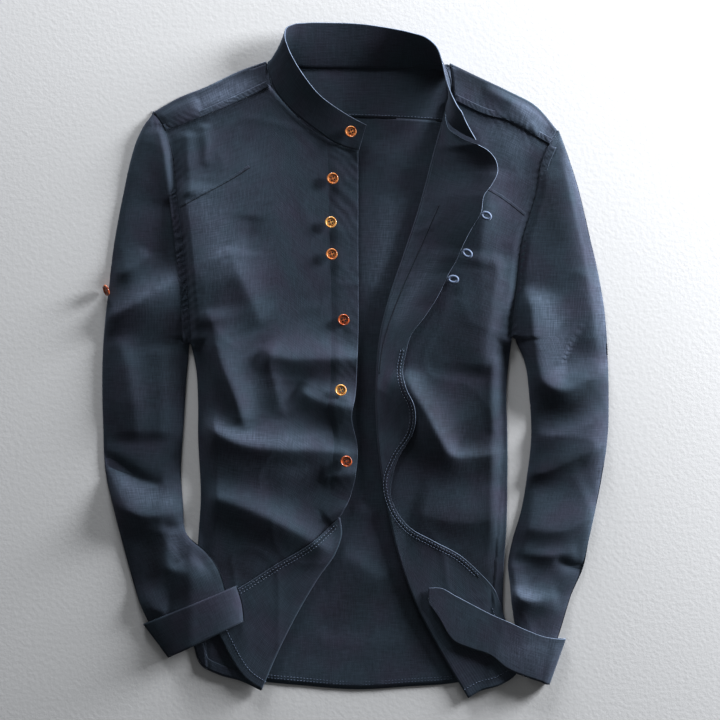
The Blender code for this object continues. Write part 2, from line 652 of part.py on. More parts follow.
def flat_tube(sections, base, step, height, folds, arm_side=None):
    """A tube lying flat: sheets through its rounded edges, open at both ends.

    sections gives outer and inner edge points, base the height of what it lies on and step how far
    above that its lower layer lies. Where arm_side is given, rows above the armpit stay open at the
    inner edge and end on that seam line.
    """
    outer, inner = sections[:, :2], sections[:, 2:].copy()
    open_row = np.zeros(len(sections), dtype=bool)
    if arm_side is not None:
        open_row = inner[:, 1] > ARMPIT_Y
        line = x_on(arm_side, inner[:, 1])
        inner[open_row, 0] = (line + SEAM * np.sign(line))[open_row]
    width = np.linalg.norm(inner - outer, axis=1)

    def points(u, upper):
        """Points at the share u of each row's width, on the upper or the lower layer."""
        share = np.where(open_row & (u > 0.9), 1.0, u)
        plan = outer + (inner - outer) * share[:, None]
        floor = base(plan) + FLOOR_Z + step
        from_edge = np.where(open_row, share, np.minimum(share, 1 - share))
        swell = np.sqrt(1 - (1 - np.clip(2 * from_edge, 0, 1)) ** 6) * np.minimum(width / 16, 1)
        held = swell * np.where(open_row, smooth((1 - share) * width / SEAM_REACH), 1.0)
        if not upper:
            return raised(plan, floor)
        return raised(plan, floor + height * swell + relief(plan, folds) * held)

    def edge_points(u):
        plan = outer if u == 0 else inner
        bulge = np.minimum(width / 16, 1)
        return raised(plan, base(plan) + FLOOR_Z + step + 0.35 * height * bulge)

    upper_shares = (0.975, 0.91, 0.8, 0.67, 0.54, 0.41, 0.28, 0.16, 0.07, 0.02)
    lower_shares = (0.02, 0.2, 0.5, 0.8, 0.975)
    columns = [points(u, True) for u in upper_shares] + [edge_points(0)] + [points(u, False) for u in lower_shares]
    sheets = [np.stack(columns, axis=1)]
    closed = ~open_row
    turn = np.stack([columns[-1], edge_points(1), columns[0]], axis=1)
    sheets.append(turn[closed])
    return sheets


def left_climb(plan):
    """Height of the body's corner under the left sleeve's end."""
    start, end = LEFT_CLIMB
    return LEFT_CLIMB_HEIGHT * smooth((plan[..., 0] - start) / (end - start)) * smooth((-165 - plan[..., 1]) / 25)


def bare_floor(plan):
    return np.zeros(plan.shape[:-1])


def sleeve_step(sections, cuff_y):
    """Raises the lower layer where it enters the cuff."""
    return CUFF_STEP * smooth((cuff_y + 45 - sections[:, 1]) / 25)


def make_sleeves(maker):
    left = spline(SLEEVE_LEFT_SECTIONS, 37)
    right = spline(SLEEVE_RIGHT_SECTIONS, 37)
    maker.cloth(
        "sleeve_left",
        flat_tube(left, left_climb, sleeve_step(left, -289), SLEEVE_HEIGHT, FOLDS_SLEEVE_LEFT, ARMHOLE_LEFT),
    )
    maker.cloth(
        "sleeve_right",
        flat_tube(right, bare_floor, sleeve_step(right, -300), SLEEVE_HEIGHT, FOLDS_SLEEVE_RIGHT, ARMHOLE_RIGHT),
    )


def make_cuffs(maker):
    left = spline(CUFF_LEFT_SECTIONS, 5)
    maker.cloth("cuff_left", flat_tube(left, left_climb, 0.0, SLEEVE_HEIGHT + 2 * CUFF_STEP, ()))
    right = spline(CUFF_RIGHT_SECTIONS, 26)
    right[:, 4] = np.maximum(right[:, 4], FLOOR_Z)
    across = np.linspace(0, 1, 4)[None, :, None]
    plan = right[:, None, :2] * (1 - across) + right[:, None, 2:4] * across
    maker.cloth("cuff_right", [raised(plan, right[:, None, 4])])


def make_buttons(maker):
    for name, x, y in BUTTONS_ON_PLACKET:
        spots = np.array([(x + dx, y + dy) for dx in (-6, 0, 6) for dy in (-6, 0, 6)], dtype=float)
        top = left_front_height(spots).max() + WALL + GAP + WALL / 2
        maker.button(name, (x, y, top + BUTTON_LIFT))
    x, y = COLLAR_BUTTON
    maker.button("button_collar", (x, y, 13.5))
    maker.button("button_sleeve", SLEEVE_BUTTON, (0.0, SLEEVE_BUTTON_TILT))


def make_loops(maker):
    for name, x, y, degrees in LOOPS:
        z = float(flap_height(np.array([(x - 2.0, y)]))[0])
        angle = math.radians(degrees)
        place = np.array([x + LOOP_ROOT * math.cos(angle), y + LOOP_ROOT * math.sin(angle), z])
        maker.loop(name, place, angle)


def main():
    clear_scene()
    maker = Maker()
    make_back(maker)
    make_yoke(maker)
    front = make_left_front(maker)
    make_placket(maker, front)
    make_right_front(maker)
    make_collar(maker)
    make_sleeves(maker)
    make_cuffs(maker)
    make_buttons(maker)
    make_loops(maker)


main()
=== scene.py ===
"""The looks of a band-collar dress shirt, laid open on a pale floor.

The neck points to +Y and the cloth lies on z = 0. Left and right are as seen from above, so the
left front carries the buttons and the right front the loops. Tables and sizes are in millimetres
and become metres when a mesh is made. Each cloth piece is a thin shell through the middle of the
wall that carries the same name in the frame, with the finer creases that the photograph shows.
"""

from __future__ import annotations

import logging
import math
from dataclasses import dataclass, field
from enum import Enum
from typing import Any, Callable, Sequence

import bmesh
import bpy
import numpy as np
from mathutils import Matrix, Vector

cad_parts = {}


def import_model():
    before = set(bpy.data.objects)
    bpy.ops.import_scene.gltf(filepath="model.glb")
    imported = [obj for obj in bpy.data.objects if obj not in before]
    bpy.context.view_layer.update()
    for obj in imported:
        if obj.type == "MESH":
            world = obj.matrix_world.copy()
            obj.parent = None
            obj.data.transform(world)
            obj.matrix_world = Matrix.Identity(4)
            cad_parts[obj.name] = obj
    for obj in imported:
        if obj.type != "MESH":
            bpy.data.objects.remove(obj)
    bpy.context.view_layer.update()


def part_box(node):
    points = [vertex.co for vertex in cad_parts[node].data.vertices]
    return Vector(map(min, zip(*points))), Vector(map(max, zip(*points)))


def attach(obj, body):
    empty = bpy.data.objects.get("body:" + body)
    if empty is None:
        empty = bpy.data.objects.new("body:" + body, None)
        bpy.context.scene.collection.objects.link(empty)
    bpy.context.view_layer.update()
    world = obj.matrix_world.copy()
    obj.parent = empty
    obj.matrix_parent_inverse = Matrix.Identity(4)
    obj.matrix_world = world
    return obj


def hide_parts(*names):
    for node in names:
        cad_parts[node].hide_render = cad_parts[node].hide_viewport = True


LOG = logging.getLogger("shirt")
MM = 0.001
BODY = "root"
Array = np.ndarray
Point = tuple[float, ...]
Height = Callable[[Array], Array]

# Cloth
CELL = 2.4  # side of a cell of the fine cloth meshes
CLOTH = 0.7  # thickness of one layer of shirt cloth, as drawn
FLOOR_Z = 0.6  # middle of a layer that lies on the floor
SEAM_Z = 5.0  # middle of the upper layer at the shoulder and armhole seams
HEM_Z = 4.2  # middle of a front near its hem
SIDE_Z = 2.1  # middle of a front at its side seam
SIDE_REACH = 20.0  # how far from its side seam a front reaches its level
SEAM_REACH = 9.0  # how far from a seam the folds begin
FOLD_LIFT = 1.2  # what every fold's rise is multiplied by
TUCK = 2.5  # how far a layer runs on under the piece that is sewn over it
TUCK_DROP = 0.9  # how far it drops there
TURN_RADIUS = 1.6  # radius of a turned-out edge
SHOULDER_RADIUS = (SEAM_Z - FLOOR_Z) / 2
PLACKET_LIFT = 1.2  # between the middles of the front and of the placket on it
ARMPIT_Y = 26.0
SLEEVE_HEIGHT = SEAM_Z - FLOOR_Z
CUFF_STEP = 2.7  # between the cuff's wall and the sleeve's wall inside it
LEFT_CLIMB = (-208.0, -178.0)  # x where the left sleeve's end climbs onto the body
LEFT_CLIMB_HEIGHT = 8.4

# Sewing
STITCH = 2.6  # length of a topstitch
STITCH_GAP = 1.0
STITCH_WIDTH = 0.55
HEM_WIDTH = 10.0
FELL_WIDTH = 7.0  # width of a flat-felled seam
EDGE_SHARE = 0.28  # width of a lighter finished edge, washed out and with a painted highlight, as a share of a cell
EDGE_STITCH = 2.8  # from a front edge to its first row of stitches
EDGE_STITCH_IN = 6.2  # and to its second
HEM_STITCHES = (5, 8)  # from a hem to its rows of stitches
YOKE_STITCH = 2.5  # from the back's yoke seam to its row
SEWN_LIFT = 0.42  # from the middle of the cloth to the thread on it
SHOWN_STITCH_Y = 14.0  # above this the stitches of the turned-out edge sink into it
SUNK_STITCH_Y = -236.0  # and below this too

# Outlines, x and y of each point.
SHOULDER_LEFT = ((-222, 273), (-194, 289), (-164, 301), (-126, 319), (-98, 329))
SHOULDER_RIGHT = ((104, 327), (131, 314), (169, 296), (197, 281), (222, 253))
NECK_BACK = ((-98, 325), (-80, 321), (-30, 320), (30, 320), (80, 321), (104, 324))
YOKE_SEAM_BACK = ((-212.5, 261), (-116, 267), (16, 268), (115, 261), (213, 240))
YOKE_SEAM_LEFT = ((-209, 253), (-164, 270), (-114, 292), (-95, 301))
YOKE_SEAM_RIGHT = ((109, 286), (144, 270), (167, 264), (194, 249), (213, 238))
YOKE_NECK_LEFT = ((-98, 329), (-98, 315), (-95, 301))
YOKE_NECK_RIGHT = ((104, 327), (107, 314), (108, 300), (109, 286))
ARMHOLE_LEFT = (
    (-181, 20), (-182, 40), (-185, 84), (-190, 133), (-195, 172),
    (-198, 200), (-203, 233), (-209, 253), (-222, 273),
)
ARMHOLE_RIGHT = (
    (172, 28), (174, 55), (178, 86), (184, 133), (192, 160),
    (200, 188), (204, 216), (213, 238), (222, 253),
)
SIDE_LEFT = (
    (-177, -312), (-175, -263), (-173, -199), (-170, -150),
    (-173, -81), (-173, -44), (-175, -9), (-181, 20),
)
SIDE_RIGHT = (
    (170, -322), (163, -285), (163, -230), (166, -182), (167, -131), (167, -84), (166, -31), (172, 28),
)
HEM_LEFT = ((-177, -312), (-169, -333), (-151, -343), (-124, -351), (-103, -361))
HEM_RIGHT = ((124, -370), (145, -358), (162, -345), (170, -322))
HEM_BACK = (
    (-175, -316), (-167, -332), (-124, -348), (-56, -357), (5, -361),
    (56, -358), (114, -353), (152, -343), (168, -324),
)
NECK_LEFT = ((-95, 301), (-78, 281), (-56, 258), (-27, 240), (3, 230))
EDGE_LEFT = (
    (-17, -172), (-7, -153), (-1, -131), (2, -94), (-4, -58), (-1, -43), (2, 1), (3, 133), (3, 230),
)
CORNER_FOLD_LEFT = (
    (-103, -361), (-83, -315), (-61, -272), (-40, -237), (-21, -209), (-15, -189), (-17, -172),
)
CORNER_EDGE_LEFT = ((-164, -270), (-116, -242), (-88, -224), (-50, -201), (-23, -177))
CORNER_HEM_LEFT = ((-103, -361), (-117, -352), (-147, -307), (-164, -270))
NECK_RIGHT = ((98, 271), (103, 284), (109, 286))
FOLD_RIGHT = (
    (124, -370), (93, -318), (62, -257), (47, -213), (38, -175), (30, -133), (26, -103), (23, -65),
    (23, -15), (27, 29), (38, 73), (53, 117), (71, 172), (84, 221), (92, 250), (98, 271),
)
FLAP_EDGE = (
    (160, -268), (152, -250), (136, -232), (116, -214), (85, -197), (59, -182), (42, -158), (37, -133),
    (46, -107), (63, -79), (66, -62), (64, -48), (56, -31), (52, -13), (55, 7), (61, 28), (75, 47),
    (90, 70), (97, 84), (102, 95), (110, 109), (117, 125), (126, 143), (137, 162), (140, 180),
    (148, 191), (155, 207), (154, 215), (145, 228), (133, 235),
)
FLAP_UPPER_EDGE_START = 8  # the first row of FLAP_EDGE above the narrowest place
FLAP_HEM = ((124, -370), (136, -363), (161, -355), (177, -343), (174, -320), (160, -268))
FLAP_NECK = ((98, 271), (102, 255), (115, 244), (133, 235))
FLAP_RISE = ((60, 0), (96, 4), (119, 10), (162, 22), (190, 29), (235, 33))
FACING_SEAM = ((92, 171), (74, 130), (52, 80), (38, 44), (30, 16), (26, -14))
COLLAR_SECTIONS = (
    (4, 231, 7, 12, 259, 10),
    (-12, 235, 7, -4, 267, 13),
    (-27, 242, 7, -19, 276, 16),
    (-41, 252, 7, -32, 285, 18),
    (-61, 267, 7, -44, 296, 20),
    (-76, 281, 7, -55, 310, 22),
    (-90, 301, 7, -66, 327, 23),
    (-94, 316, 7.4, -73, 341, 24),
    (-94, 328, 7.4, -77, 355, 24),
    (-88, 329, 6, -76, 363, 22),
    (-78, 326, 4, -68, 368, 19),
    (-59, 323, 2.8, -55, 370, 16),
    (-28, 322, 2.2, -28, 370.5, 14),
    (5, 322, 2.2, 5, 369, 15),
    (38, 322, 2.2, 38, 364, 18),
    (64, 323, 3.0, 62, 358, 25),
    (84, 326, 6, 79, 351, 32),
    (97, 323, 8, 89, 340, 38),
    (102, 312, 8.6, 94, 325, 41),
    (104, 300, 8.6, 98, 307, 43),
    (102, 288, 10, 103, 292, 45),
    (99, 277, 12, 108, 281, 47),
    (103, 260, 20, 112, 274, 48),
    (115, 249, 32, 115, 270, 49),
    (131, 240, 42, 117, 265, 49),
)
SLEEVE_LEFT_SECTIONS = (
    (-223.5, 271, -220, 269),
    (-232, 259, -213, 258),
    (-240, 243, -207, 243),
    (-247, 220, -202, 222),
    (-255, 183, -197, 190),
    (-261, 152, -192, 155),
    (-266, 122, -188, 120),
    (-271, 78, -184, 78),
    (-275, 42, -182, 40),
    (-277, 17, -183, 16),
    (-278, -25, -186, -20),
    (-277, -69, -189, -69),
    (-274, -125, -192, -122),
    (-266, -160, -190, -155),
    (-255, -203, -185, -190),
    (-246, -236, -163, -210),
    (-238, -262, -150, -228),
    (-230, -281, -143, -248),
    (-221, -298, -139, -266),
)
SLEEVE_RIGHT_SECTIONS = (
    (224.5, 250, 219.5, 247.5),
    (229, 238, 212, 236),
    (234, 224, 206, 221),
    (243, 196, 200, 195),
    (252, 160, 192, 160),
    (258, 133, 184, 133),
    (264, 108, 181, 108),
    (268, 88, 178, 88),
    (273, 58, 174, 57),
    (276, 26, 176, 24),
    (277, 3, 185, 3),
    (278, -44, 191.5, -40),
    (277, -81, 193.5, -80),
    (270, -131, 188.5, -129),
    (262.5, -168, 182, -166),
    (256, -198, 173, -196),
    (250, -227, 168, -222),
    (237, -257, 170, -244),
    (226, -292, 172, -268),
    (219, -314, 175, -290),
)
CUFF_LEFT_SECTIONS = (
    (-233, -289, -130, -246),
    (-219.5, -307, -124, -266),
    (-205.5, -326, -122, -285),
)
CUFF_RIGHT_SECTIONS = (
    (80, -249, 80, -265, 9.6),
    (93, -249, 91, -281, 9.8),
    (109, -257, 108, -308, 10),
    (126, -266, 126, -316, 10),
    (147, -277, 147, -323, 10),
    (170, -287, 168, -339, 10.3),
    (190, -296, 188, -347, 10.8),
    (210, -303, 203, -352, 10.2),
    (226, -305, 210, -355, 8.4),
    (231, -305, 213, -355, 5),
    (226, -305, 210, -354, 1.4),
    (210, -303, 203, -351, FLOOR_Z),
    (190, -297, 189, -346, FLOOR_Z),
)
DART_LEFT = ((-194, 168), (-172, 180), (-146, 194), (-126, 206), (-116, 213))
DART_RIGHT = ((146, 188), (164, 177), (186, 160))
BUTTONS_ON_PLACKET = (
    ("button_1", -25, 200),
    ("button_2", -27, 152),
    ("button_3", -26, 117),
    ("button_4", -13, 45),
    ("button_5", -16, -32),
    ("button_6", -10, -110),
)
HORN_OF_BUTTON = {"button_1": 0, "button_2": 1, "button_4": 2, "button_5": 1, "button_6": 2, "button_sleeve": 2}
LOOPS = (("loop_1", 136, 161, -25), ("loop_2", 116, 121, -30), ("loop_3", 100, 90, -5))


@dataclass(frozen=True)
class Fold:
    """A crease of the cloth: a soft ridge, or a trough where its rise is below 0.

    Each row of crest gives x, y, how wide the crease is on its left and on its right, seen along
    it, and how high it stands there.
    """

    crest: tuple[Point, ...]
    sharpness: float = 1.5
    fade: float = 8.0


FOLDS_LEFT = (
    Fold(((-108, 12, 12, 14, 5), (-72, 2, 20, 18, 8), (-39, 2, 20, 20, 8), (3, 2, 8, 18, 6), (30, 2, 8, 18, 6))),
    Fold(
        (
            (-66, -28, 10, 16, 4), (-45, -42, 15, 24, 8), (-23, -48, 17, 26, 10),
            (7, -53, 12, 24, 8), (30, -55, 9, 20, 6),
        ),
    ),
    Fold(
        (
            (-178, -58, 10, 18, 6), (-147, -82, 16, 20, 10), (-119, -93, 19, 24, 12), (-84, -97, 27, 26, 13),
            (-50, -98, 21, 24, 11), (-17, -101, 8, 22, 6), (10, -104, 6, 18, 4),
        ),
    ),
    Fold(
        (
            (-178, -148, 18, 22, 6), (-133, -157, 20, 26, 11), (-108, -167, 20, 28, 11), (-83, -179, 18, 28, 10),
            (-50, -197, 16, 26, 6), (-20, -215, 12, 20, 4),
        ),
    ),
    Fold(((-160, 60, 26, 20, 4), (-150, 10, 26, 18, 8), (-130, -44, 18, 15, 9), (-119, -78, 9, 12, 4))),
    Fold(((-104, 20, 12, 14, 2), (-92, -14, 13, 16, 4), (-84, -44, 12, 14, 3), (-78, -66, 10, 12, 1))),
    Fold(((-192, 205, 40, 12, 4), (-188, 150, 58, 12, 8), (-178, 92, 50, 12, 7), (-170, 30, 34, 12, 3))),
    Fold(((-168, 262, 9, 9, 2), (-164, 236, 7, 7, 3), (-166, 212, 6, 6, 1))),
    Fold(((-184, 254, 14, 8, 3), (-184, 216, 14, 7, 4), (-180, 176, 12, 7, 2))),
    Fold(((-116, 160, 14, 12, -1), (-118, 138, 16, 14, -2.5), (-120, 116, 14, 12, -1))),
    Fold(((-38, -128, 9, 9, 2), (-18, -126, 9, 9, 3.5), (10, -122, 8, 9, 3))),
    Fold(((-34, -176, 9, 9, 2), (-16, -164, 9, 10, 4), (8, -148, 8, 9, 3))),
    Fold(((-152, -170, 50, 90, 2), (-150, -60, 50, 110, 5), (-148, 120, 50, 110, 5), (-148, 250, 50, 90, 3))),
    Fold(((-142, 128, 16, 24, 2), (-128, 94, 16, 24, 5), (-112, 60, 14, 22, 4), (-102, 34, 12, 18, 2))),
)
FOLDS_RIGHT = (
    Fold(
        (
            (52, -4, 10, 14, 4), (61, -31, 12, 18, 9), (76, -55, 13, 22, 11), (91, -83, 13, 24, 12),
            (106, -104, 10, 24, 9), (131, -105, 9, 22, 6), (180, -98, 9, 18, 4),
        ),
    ),
    Fold(((158, 10, 14, 9, 2), (157, -30, 16, 9, 4), (156, -64, 14, 9, 3), (156, -84, 12, 9, 1))),
    Fold(((60, -166, 30, 26, 3), (115, -177, 30, 26, 6), (180, -168, 30, 24, 5))),
    Fold(((157, 120, 12, 50, 3), (150, 70, 14, 54, 6), (143, 20, 16, 50, 5), (140, -20, 14, 30, 2))),
    Fold(((160, 20, 12, 14, 2), (157, -30, 12, 14, 4), (158, -130, 12, 14, 3), (160, -220, 10, 12, 2))),
    Fold(((138, -190, 100, 40, 2), (136, -60, 110, 40, 5), (138, 90, 110, 40, 5), (140, 205, 90, 40, 2))),
    Fold(((150, 215, 16, 24, 2), (142, 160, 18, 30, 4), (134, 100, 18, 28, 2))),
)
FOLDS_SLEEVE_LEFT = (
    Fold(((-211, 262, 7, 18, 2), (-207, 232, 7, 20, 5), (-201, 196, 8, 20, 5), (-200, 168, 8, 16, 1))),
    Fold(
        (
            (-288, 42, 14, 18, 5), (-256, 54, 17, 22, 9), (-232, 66, 19, 26, 11),
            (-208, 80, 17, 28, 9), (-186, 98, 12, 24, 3),
        ),
    ),
    Fold(((-268, 98, 12, 9, 1), (-254, 97, 14, 10, 4), (-238, 108, 13, 9, 3), (-228, 122, 8, 8, 1))),
    Fold(((-262, 30, 12, 24, 2), (-250, -10, 14, 30, 4), (-242, -60, 16, 30, 5), (-240, -92, 14, 20, 2))),
    Fold(((-214, 20, 14, 24, 2), (-212, -30, 16, 26, 4), (-214, -90, 14, 24, 2))),
    Fold(
        (
            (-290, -140, 20, 14, 5), (-250, -164, 26, 16, 10), (-228, -170, 28, 18, 10),
            (-206, -168, 28, 18, 9), (-178, -164, 24, 16, 7),
        ),
    ),
    Fold(((-284, -104, 10, 9, -3), (-256, -120, 10, 9, -6), (-232, -132, 9, 9, -5), (-208, -136, 9, 9, -2))),
    Fold(
        (
            (-204, -178, 14, 18, 2), (-207, -203, 14, 20, 6), (-203, -228, 12, 20, 7),
            (-188, -232, 12, 16, 5), (-166, -219, 10, 12, 3),
        ),
    ),
    Fold(((-252, -262, 20, 8, 2), (-224, -272, 22, 6, 4), (-204, -276, 16, 6, 2))),
)
FOLDS_SLEEVE_RIGHT = (
    Fold(
        (
            (188, 86, 12, 10, 3), (192, 58, 24, 12, 8), (195, 20, 30, 12, 11), (204, -22, 24, 18, 12),
            (228, -32, 18, 22, 12), (254, -22, 15, 20, 10), (290, 0, 14, 18, 6),
        ),
    ),
    Fold(((188, -84, 14, 20, 3), (222, -82, 16, 20, 6), (256, -68, 15, 20, 6), (290, -48, 14, 16, 4))),
    Fold(((180, -126, 22, 10, 4), (214, -120, 24, 9, 7), (246, -106, 24, 9, 8), (290, -84, 20, 9, 6))),
    Fold(((224, 228, 8, 30, 2), (237, 170, 9, 46, 5), (250, 110, 9, 54, 6), (260, 50, 9, 40, 5), (266, 0, 9, 26, 2))),
    Fold(((178, -182, 34, 16, 4), (225, -186, 34, 16, 6), (272, -168, 34, 16, 4))),
    Fold(
        (
            (164, -218, 14, 10, 4), (170, -246, 15, 10, 7), (177, -258, 15, 12, 7),
            (206, -262, 14, 12, 4), (226, -258, 12, 10, 1),
        ),
    ),
    Fold(((218, -216, 5, 6, -1), (236, -225, 5, 6, -4), (258, -226, 5, 6, -4), (270, -224, 5, 6, -3))),
    Fold(((176, -210, 10, 8, 1), (210, -214, 12, 9, 4), (246, -210, 10, 8, 1))),
)
FOLDS_BACK = (
    Fold(((30, 250, 20, 24, 1), (34, 160, 20, 26, 2.2), (20, 60, 20, 22, 1))),
    Fold(((-22, -208, 10, 16, 0.6), (6, -226, 14, 20, 2.4), (34, -244, 10, 16, 0.8))),
    Fold(((52, -214, 9, 9, 0.6), (62, -240, 10, 9, 2.0), (72, -262, 9, 9, 0.6))),
    Fold(((-6, -160, 8, 12, 0.4), (10, -166, 9, 14, 1.6), (28, -170, 8, 12, 0.4))),
    Fold(((-60, -300, 14, 18, 0.3), (0, -312, 16, 18, 1.0), (60, -305, 14, 18, 0.3))),
)

# Areas of lighter (above 0) and deeper dye (below 0): rise is a share here. Some are wash fading, and
# some are painted light and painted shade, standing for what the modelled folds do not give.
WASH_AND_PAINTED_SHADING = (
    Fold(((-186, 276, 12, 12, 0.2), (-138, 298, 16, 14, 0.8), (-100, 312, 12, 12, 0.2))),
    Fold(((108, 320, 12, 12, -0.3), (134, 302, 13, 13, -0.45), (160, 288, 10, 10, -0.2))),
    Fold(((168, 284, 8, 12, 0.1), (190, 268, 10, 14, 0.4), (212, 246, 8, 12, 0.2))),
    Fold(((-172, 200, 16, 20, 0.1), (-156, 140, 18, 24, 0.24), (-140, 80, 16, 20, 0.15))),
    Fold(((-170, -66, 8, 8, 0.1), (-116, -84, 9, 9, 0.2), (-40, -94, 8, 8, 0.15))),
    Fold(((-160, -104, 8, 10, 0.2), (-105, -117, 10, 12, 0.4), (-40, -120, 8, 10, 0.2))),
    Fold(((-120, -20, 10, 10, 0.05), (-99, -27, 12, 12, 0.2), (-80, -34, 10, 10, 0.05))),
    Fold(((50, -10, 10, 10, -0.1), (82, -50, 14, 14, -0.4), (110, -90, 12, 12, -0.25))),
    Fold(((120, -60, 16, 20, -0.2), (137, -98, 18, 22, -0.42), (150, -140, 16, 20, -0.2))),
    Fold(((118, 60, 16, 20, -0.1), (115, 12, 20, 24, -0.2), (112, -20, 16, 20, -0.1))),
    Fold(((40, 190, 14, 16, 0.1), (32, 122, 16, 18, 0.32), (22, 50, 12, 14, 0.1))),
    Fold(((-40, -290, 20, 24, -0.15), (5, -263, 24, 28, -0.38), (50, -240, 20, 24, -0.15))),
    Fold(((96, 126, 8, 10, 0.1), (66, 78, 9, 11, 0.26), (40, 36, 8, 9, 0.15))),
    Fold(((-272, 50, 8, 10, 0.1), (-232, 72, 10, 12, 0.2), (-192, 92, 8, 8, 0.1))),
    Fold(((-244, 0, 18, 18, -0.1), (-237, -43, 20, 20, -0.2), (-232, -80, 18, 18, -0.1))),
    Fold(((212, 60, 16, 20, 0.05), (225, 23, 20, 26, 0.2), (240, -20, 16, 18, 0.05))),
    Fold(((262, 140, 6, 8, 0.1), (272, 60, 7, 8, 0.28), (276, -20, 6, 8, 0.1))),
    Fold(((110, -20, 10, 12, -0.1), (132, -44, 12, 16, -0.32), (158, -70, 10, 12, -0.15))),
    Fold(((52, -70, 10, 12, -0.1), (70, -100, 10, 14, -0.25), (92, -120, 10, 12, -0.1))),
    Fold(((56, -150, 16, 18, -0.15), (110, -176, 18, 20, -0.32), (168, -170, 16, 18, -0.15))),
    Fold(((112, -206, 10, 14, -0.2), (142, -232, 16, 20, -0.45), (168, -250, 12, 14, -0.2))),
    Fold(((44, -220, 12, 16, -0.2), (62, -280, 16, 18, -0.45), (84, -345, 12, 16, -0.2))),
    Fold(((196, -50, 9, 12, -0.15), (232, -52, 10, 14, -0.42), (266, -18, 9, 12, -0.2))),
    Fold(((196, -84, 9, 9, 0.05), (232, -80, 10, 10, 0.16), (266, -62, 9, 9, 0.1))),
    Fold(((194, -118, 9, 10, -0.15), (232, -112, 10, 12, -0.4), (268, -92, 9, 10, -0.2))),
    Fold(((166, -222, 9, 9, 0.15), (176, -250, 10, 11, 0.35), (206, -266, 9, 9, 0.2))),
    Fold(((264, -64, 7, 8, 0.1), (268, -130, 8, 8, 0.25), (262, -196, 7, 8, 0.1))),
    Fold(((196, 236, 12, 18, -0.15), (212, 180, 16, 20, -0.4), (226, 118, 14, 18, -0.2))),
    Fold(((212, 262, 6, 8, 0.1), (246, 196, 8, 9, 0.3), (266, 134, 6, 8, 0.1))),
    Fold(((184, 84, 12, 12, 0.05), (206, 62, 14, 14, 0.22), (226, 36, 12, 12, 0.1))),
    Fold(((152, 120, 12, 14, -0.1), (148, 78, 14, 16, -0.28), (150, 30, 12, 14, -0.1))),
    Fold(((140, 262, 12, 14, 0.05), (176, 236, 16, 18, 0.22), (186, 190, 12, 14, 0.1))),
    Fold(((-196, 60, 12, 16, -0.15), (-200, 0, 14, 20, -0.35), (-198, -60, 12, 16, -0.15))),
    Fold(((-204, 160, 12, 14, -0.1), (-212, 124, 14, 18, -0.3), (-222, 100, 10, 12, -0.1))),
    Fold(((-272, -128, 9, 10, 0.1), (-232, -148, 11, 12, 0.26), (-194, -156, 9, 10, 0.15))),
    Fold(((-216, -176, 9, 10, -0.1), (-220, -214, 11, 13, -0.36), (-216, -258, 9, 10, -0.15))),
    Fold(((-200, -178, 7, 8, 0.1), (-196, -204, 8, 9, 0.32), (-188, -230, 7, 8, 0.15))),
    Fold(((-174, -210, 10, 12, -0.15), (-140, -226, 14, 16, -0.35), (-108, -236, 10, 12, -0.15))),
    Fold(((-168, -170, 10, 12, -0.1), (-130, -186, 13, 14, -0.25), (-92, -200, 10, 12, -0.1))),
    Fold(((150, -322, 16, 16, 0.1), (185, -318, 20, 20, 0.3), (230, -312, 20, 20, 0.2))),
)


def linear(code: str) -> tuple[float, float, float, float]:
    """Turns an sRGB hex colour to linear.

    Args:
        code: Six hex digits.

    Returns:
        Red, green, blue and an alpha of 1.
    """
    shares = [int(code[i : i + 2], 16) / 255 for i in (0, 2, 4)]
    red, green, blue = (c / 12.92 if c <= 0.04045 else ((c + 0.055) / 1.055) ** 2.4 for c in shares)
    return red, green, blue, 1.0


def smooth(value: Array | float) -> Array:
    """A soft step from 0 at 0 to 1 at 1."""
    value = np.clip(value, 0.0, 1.0)
    return value * value * (3 - 2 * value)


def lengths(points: Array) -> Array:
    """Length along a row of points, at each of them."""
    return np.concatenate([[0], np.cumsum(np.linalg.norm(np.diff(points, axis=0), axis=1))])


def spline(table: Sequence[Point] | Array, count: int) -> Array:
    """Samples a smooth curve through the rows of a table.

    Args:
        table: Rows that the curve passes through.
        count: How many rows to return.

    Returns:
        Rows evenly spaced along the curve.
    """
    knots = np.array(table, dtype=float)
    places = lengths(knots)
    slopes = np.gradient(knots, places, axis=0)
    fine = np.linspace(0, places[-1], 24 * len(knots))
    cell = np.clip(np.searchsorted(places, fine, side="right") - 1, 0, len(knots) - 2)
    width = (places[cell + 1] - places[cell])[:, None]
    t = (fine[:, None] - places[cell][:, None]) / width
    curve = (
        (2 * t**3 - 3 * t**2 + 1) * knots[cell]
        + (t**3 - 2 * t**2 + t) * width * slopes[cell]
        + (3 * t**2 - 2 * t**3) * knots[cell + 1]
        + (t**3 - t**2) * width * slopes[cell + 1]
    )
    along = lengths(curve)
    wanted = np.linspace(0, along[-1], count)
    return np.stack([np.interp(wanted, along, column) for column in curve.T], axis=1)


def cells(table: Sequence[Point], side: float = CELL) -> int:
    """How many cells of the given side fit along a curve."""
    return max(2, round(lengths(spline(table, 60))[-1] / side))


def chained(*parts: tuple[Sequence[Point], int]) -> Array:
    """Joins curves end to end.

    Args:
        parts: Pairs of a table and its number of cells.

    Returns:
        One row of points, with shared points once.
    """
    points = [spline(table, count + 1) for table, count in parts]
    return np.concatenate([points[0]] + [piece[1:] for piece in points[1:]])


def moved_sideways(points: Array, distance: float) -> Array:
    """Moves a plan curve to its left by distance."""
    along = np.gradient(points, axis=0)
    along /= np.linalg.norm(along, axis=1)[:, None]
    return points + distance * np.stack([-along[:, 1], along[:, 0]], axis=1)


